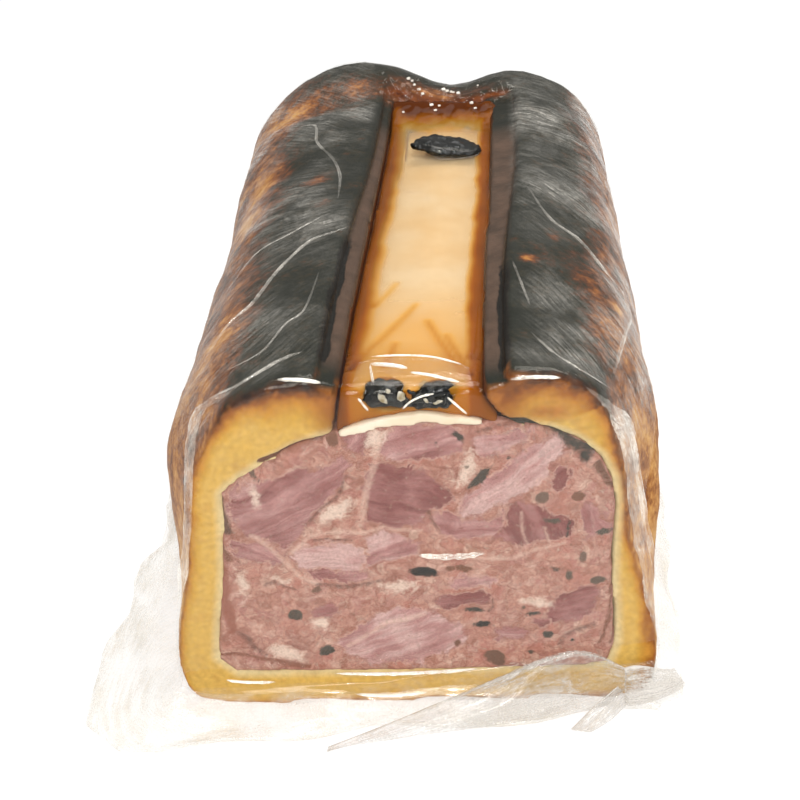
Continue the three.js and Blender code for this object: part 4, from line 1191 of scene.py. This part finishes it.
# The film
def outer_shell(form):
    """Keeps the largest connected shell alone."""
    left = set(form.verts)
    shells = []
    while left:
        reached = [left.pop()]
        shell = list(reached)
        while reached:
            neighbours = [edge.other_vert(vert) for vert in reached for edge in vert.link_edges]
            reached = list(left.intersection(neighbours))
            left.difference_update(reached)
            shell += reached
        shells.append(shell)
    shells.sort(key=len)
    for shell in shells[:-1]:
        bmesh.ops.delete(form, geom=shell, context="VERTS")


def film_marks(form):
    """Adds the film's two marks to a form: how milky it is, together with painted highlights on the shining
    folds, and its place along the pull.
    """
    return form.verts.layers.float.new("haze_and_glint"), form.verts.layers.float_vector.new("pull")


def film_pull(point):
    """Place across and along the lines in which the film is drawn, in streak widths."""
    inward = 46.0 - abs(point.x - 1.0)
    if point.x < 1.0:
        lean = 1.3 - 2.2 * smooth(30.0, 125.0, point.y)
    else:
        lean = 1.7 - 1.4 * smooth(60.0, 130.0, point.y)
    across = point.y - inward * lean + 3.0 * lumps(point, 26.0) + 0.8 * (point.z - 70.0)
    return Vector((across / 1.7, inward / 18.0, math.copysign(3.0, point.x)))


def in_channel(point):
    """1 where the film lies down in the groove on the jelly."""
    return between_flaps(point, 8.0) * smooth(152.0, 147.0, point.y)


def at_groove_end(point):
    """1 where the film is bunched over the groove's baked end."""
    across = groove_x(point) + 1.3
    return smooth(21.0, 15.0, abs(across)) * smooth(138.0, 144.0, point.y) * smooth(164.0, 156.0, point.y)


def film_haze(point, normal):
    """How milky the drawn film is there, before its pull marks."""
    flank = smooth(33.0, 45.0, abs(point.x)) * smooth(54.0, 66.0, point.z)
    milky_side = 0.21 if point.x > 0.0 else 0.065
    haze_and_glint = 0.045 + milky_side * flank + 0.03 * smooth(118.0, 138.0, point.y)
    if point.z > 60.0:
        haze_and_glint += sum(patch[4] * near_spot(point, patch) for patch in FILM_PATCHES)
    haze_and_glint = blend(haze_and_glint, 0.02, smooth(62.0, 48.0, point.z)) * smooth(-2.0, 6.0, point.y - cut_y(point))
    haze_and_glint = blend(haze_and_glint, 0.01, smooth(-0.4, -0.8, normal.y))
    return max(haze_and_glint, 0.01) * (1.0 - 0.95 * max(in_channel(point), at_groove_end(point)))


def over_flaps(face):
    """Whether a face lies on top of the loaf or on its cut."""
    return on_cut(face) or (face.normal.z > 0.3 and face.calc_center_median().z > 55.0)


def over_groove_end(face):
    """Whether a face lies over the groove's baked end."""
    middle = face.calc_center_median()
    return middle.z > 66.0 and at_groove_end(middle) > 0.1


def make_cling_film():
    """The film drawn tight over the food, just off it, and out of sight in it under the pouch margin."""
    form = remeshed(copy_of(*FOOD), FILM_VOXEL)
    outer_shell(form)
    refined(form, over_flaps)
    refined(form, over_groove_end)
    softened(form, 5)
    food = surface_of(*FOOD)
    margin = surface_of("pouch_film")
    haze_and_glint, pull = film_marks(form)
    for vert in form.verts:
        spot, normal, _, _ = food.find_nearest(vert.co)
        reach = 6.5 if normal.y < -0.6 else 2.6
        under_margin = smooth(reach, 0.6 * reach, margin.find_nearest(vert.co)[3])
        off = blend(FILM_OFF, FILM_IN, under_margin)
        if (vert.co - spot).dot(normal) < off or under_margin > 0.0:
            vert.co = spot + normal * off
    softened(form, 1)
    for vert in form.verts:
        point = vert.co.copy()
        vert[pull] = film_pull(point)
        vert[haze_and_glint] = film_haze(point, vert.normal)
        calm = 1.0 - in_channel(point)
        bunched = at_groove_end(point) * smooth(70.0, 73.0, point.z)
        drawn = 0.1 * lumps(vert[pull] * 0.5, 1.0) + 0.08 * lumps(point, 6.0)
        vert.co += vert.normal * (calm * drawn + bunched * (0.5 + 0.9 * lumps(point, 2.2)))
        vert.co.z = max(vert.co.z, -0.5 * FLOOR_DROP)
    place(form, "cling_film", clear_film("drawn_vacuum_film", FILM_WHITE, painted_glow=0.06))


def arched_strip(form, path, width, height, outward, milky_and_glint):
    """A narrow standing fold of film along a path, arched outwards and thinning to both ends."""
    points = flat(path)
    haze_and_glint = form.verts.layers.float["haze_and_glint"]
    pull = form.verts.layers.float_vector["pull"]
    steps = 10 * (len(points) - 1)
    made = bmesh.ops.create_grid(form, x_segments=steps, y_segments=6, size=0.5)
    for vert in made["verts"]:
        part = vert.co.x + 0.5
        side = 2.0 * vert.co.y
        centre = on_path(points, part)
        ahead = on_path(points, min(part + 0.01, 1.0)) - on_path(points, max(part - 0.01, 0.0))
        across = ahead.cross(outward).normalized()
        uneven = 0.8 + 0.35 * lumps((part * steps / 8.0, centre.x, centre.y), 1.0)
        taper = min(1.0, 5.0 * part, 5.0 * (1.0 - part)) * uneven
        rise = height * taper * (1.0 - side * side) - 0.15
        vert.co = centre + across * (0.5 * width * taper * side) + outward * rise
        edges = 0.45 + 0.55 * side * side
        vert[haze_and_glint] = milky_and_glint * min(taper, 1.0) * edges
        vert[pull] = (side * 1.5, part * steps / 9.0, centre.y)


def hung_sheet(form, upper, lower, bulge, pleat, milky_and_glint):
    """A loose sheet of film hung between two paths, bulged outwards and softly pleated."""
    top = flat(upper)
    foot = flat(lower)
    haze_and_glint = form.verts.layers.float["haze_and_glint"]
    pull = form.verts.layers.float_vector["pull"]
    made = bmesh.ops.create_grid(form, x_segments=64, y_segments=20, size=0.5)
    for vert in made["verts"]:
        part = vert.co.x + 0.5
        down = 0.5 - vert.co.y
        length = part * (foot[-1] - foot[0]).length
        belly = math.sin(math.pi * down)
        fold = lumps((length / 16.0, 3.0 * down + length / 24.0, top[0].x), 1.0)
        vert.co = on_path(top, part).lerp(on_path(foot, part), down)
        vert.co += Vector((0.0, -1.0, 0.35)) * (bulge * belly + pleat * fold * (0.25 + belly))
        vert.co.z = max(vert.co.z, 0.1)
        # The upper edge is painted whiter, as a highlight along it
        edge = smooth(0.1, 0.0, down)
        vert[haze_and_glint] = milky_and_glint * (0.7 + 1.6 * edge + 0.5 * fold)
        vert[pull] = (6.0 * down + length / 30.0, length / 14.0, top[0].x)


def on_top(food, x, y):
    """The point on top of the food at that place."""
    return food.ray_cast(Vector((x, y, ABOVE_LOAF)), -UP)[0]


def make_film_folds():
    """The film's standing creases, the folds down the front edges and the short folds painted white as
    highlights.
    """
    food = surface_of(*FOOD)
    form = bmesh.new()
    film_marks(form)
    for line, width, height in CREASES:
        path = [on_top(food, x, y) + FILM_OFF * UP for x, y in line]
        arched_strip(form, path, 0.5 * width, 0.6 * height, UP, milky_and_glint=0.2)
    for path, width, height in EDGE_FOLDS:
        arched_strip(form, path, width, height, FRONT, milky_and_glint=0.22)
    # Strong milkiness paints the short folds white as highlights
    for path, width, height in PAINTED_GLINTS:
        arched_strip(form, path, width, height, FRONT, milky_and_glint=1.6)
    # Tiny wrinkles over the groove's end, painted white as sparkling highlights
    for index in range(PAINTED_SPARKLES):
        x = blend(-8.0, 12.0, (0.618 * index) % 1.0)
        y = blend(141.0, 157.0, (0.755 * index) % 1.0)
        lift = 1.2 + 4.6 * smooth(150.0, 144.0, y) * (0.4 + 0.6 * ((0.43 * index) % 1.0))
        top = on_top(food, x, y) + lift * UP
        size = 0.5 + 0.5 * ((0.29 * index) % 1.0)
        path = (top, top + size * Vector((1.0, 0.3, 0.1)))
        arched_strip(form, path, 0.8 * size, height=0.3, outward=Vector((0.0, -0.6, 0.8)), milky_and_glint=2.0)
    bmesh.ops.solidify(form, geom=form.faces[:], thickness=FILM_THICKNESS)
    place(form, "film_folds", clear_film("folded_vacuum_film", FILM_WHITE, painted_glow=0.3))


def make_loose_film():
    """The loose film gathered at the front foot and the film stretched over the groove's front end."""
    form = bmesh.new()
    film_marks(form)
    hung_sheet(form, SHEET_TOP, SHEET_FOOT, bulge=1.2, pleat=0.5, milky_and_glint=0.3)
    hung_sheet(form, KNOT_TOP, KNOT_FOOT, bulge=1.0, pleat=0.9, milky_and_glint=0.6)
    hung_sheet(form, TAB_TOP, TAB_FOOT, bulge=0.3, pleat=0.3, milky_and_glint=0.6)
    hung_sheet(form, BRIDGE_BACK, BRIDGE_FRONT, bulge=0.5, pleat=0.6, milky_and_glint=0.03)
    # A thin fold along the sheet's top edge, painted white as a highlight
    rim = SHEET_TOP[2:]
    arched_strip(form, rim, width=0.8, height=0.5, outward=Vector((0.0, -0.9, 0.44)), milky_and_glint=0.9)
    bmesh.ops.solidify(form, geom=form.faces[:], thickness=FILM_THICKNESS)
    place(form, "loose_film", clear_film("gathered_vacuum_film", FILM_SHADED_GREY, painted_glow=0.1))


def make_pouch_margin():
    """The pouch's loose margin round the foot of the loaf, crumpled, and drawn in close to the food."""
    form = copy_of("pouch_film")
    bmesh.ops.subdivide_edges(form, edges=form.edges[:], cuts=2, use_grid_fill=True)
    food = surface_of(*FOOD)
    haze_and_glint, pull = film_marks(form)
    for vert in form.verts:
        point = vert.co.copy()
        spot, normal, _, away = food.find_nearest(point)
        drawn_in = smooth(7.0, 2.5, away)
        inner = smooth(-0.2, 0.4, -vert.normal.dot(normal))
        vert.co = point.lerp(spot + normal * blend(FILM_OFF, FILM_IN, inner), drawn_in)
        around = math.atan2(point.y - 80.0, point.x) * 60.0
        vert[pull] = (away / 2.6 + 0.3 * point.z, around / 14.0, 0.0)
        loose = smooth(1.0, 5.0, away) * smooth(0.3, 3.0, point.z)
        vert.co += normal * 0.7 * loose * lumps((around / 9.0, away / 4.0, 0.0), 1.0)
        vert.co.z = max(vert.co.z, -0.5 * FLOOR_DROP)
        vert[haze_and_glint] = 0.04 + 0.18 * smooth(2.0, 8.0, away)
    place(form, "pouch_margin", bpy.data.materials["drawn_vacuum_film"], "pouch_film")


# Stage
def set_stage():
    """A white floor, a pale room and soft lights."""
    form = bmesh.new()
    bmesh.ops.create_grid(form, x_segments=1, y_segments=1, size=FLOOR_HALF)
    bmesh.ops.translate(form, verts=form.verts, vec=(0.0, 0.0, -FLOOR_DROP / 1000))
    mesh = mesh_of(form, "floor")
    mesh.materials.append(pale_floor())
    floor = linked("floor", mesh)
    world = bpy.data.worlds.new("pale_room")
    bpy.context.scene.world = world
    world.use_nodes = True
    room = world.node_tree.nodes["Background"]
    room.inputs["Color"].default_value = linear("#ffffff")
    room.inputs["Strength"].default_value = ROOM_STRENGTH
    aim = TO_ROW @ Vector(LAMP_AIM)
    for name, at, size, watts in LAMPS:
        light = bpy.data.lights.new(name, "AREA")
        light.size = size
        light.energy = watts
        lamp = linked(name, light)
        lamp.location = at
        lamp.rotation_euler = (aim - Vector(at)).to_track_quat("-Z", "Y").to_euler()
    bpy.context.scene.view_settings.view_transform = "Standard"


def set_camera():
    """The photograph's viewpoint: a little above the loaf, looking down at its cut face."""
    lens = bpy.data.cameras.new("camera")
    lens.lens = LENS
    lens.sensor_width = SENSOR
    camera = linked("camera", lens)
    camera.location = TO_ROW @ Vector(CAMERA_AT)
    camera.rotation_euler = (math.radians(CAMERA_TILT), 0.0, math.radians(CAMERA_TURN))
    bpy.context.scene.camera = camera


set_camera()
make_crust()
make_filling()
make_fat()
make_jelly()
make_mushrooms()
make_cling_film()
make_film_folds()
make_loose_film()
make_pouch_margin()
set_stage()
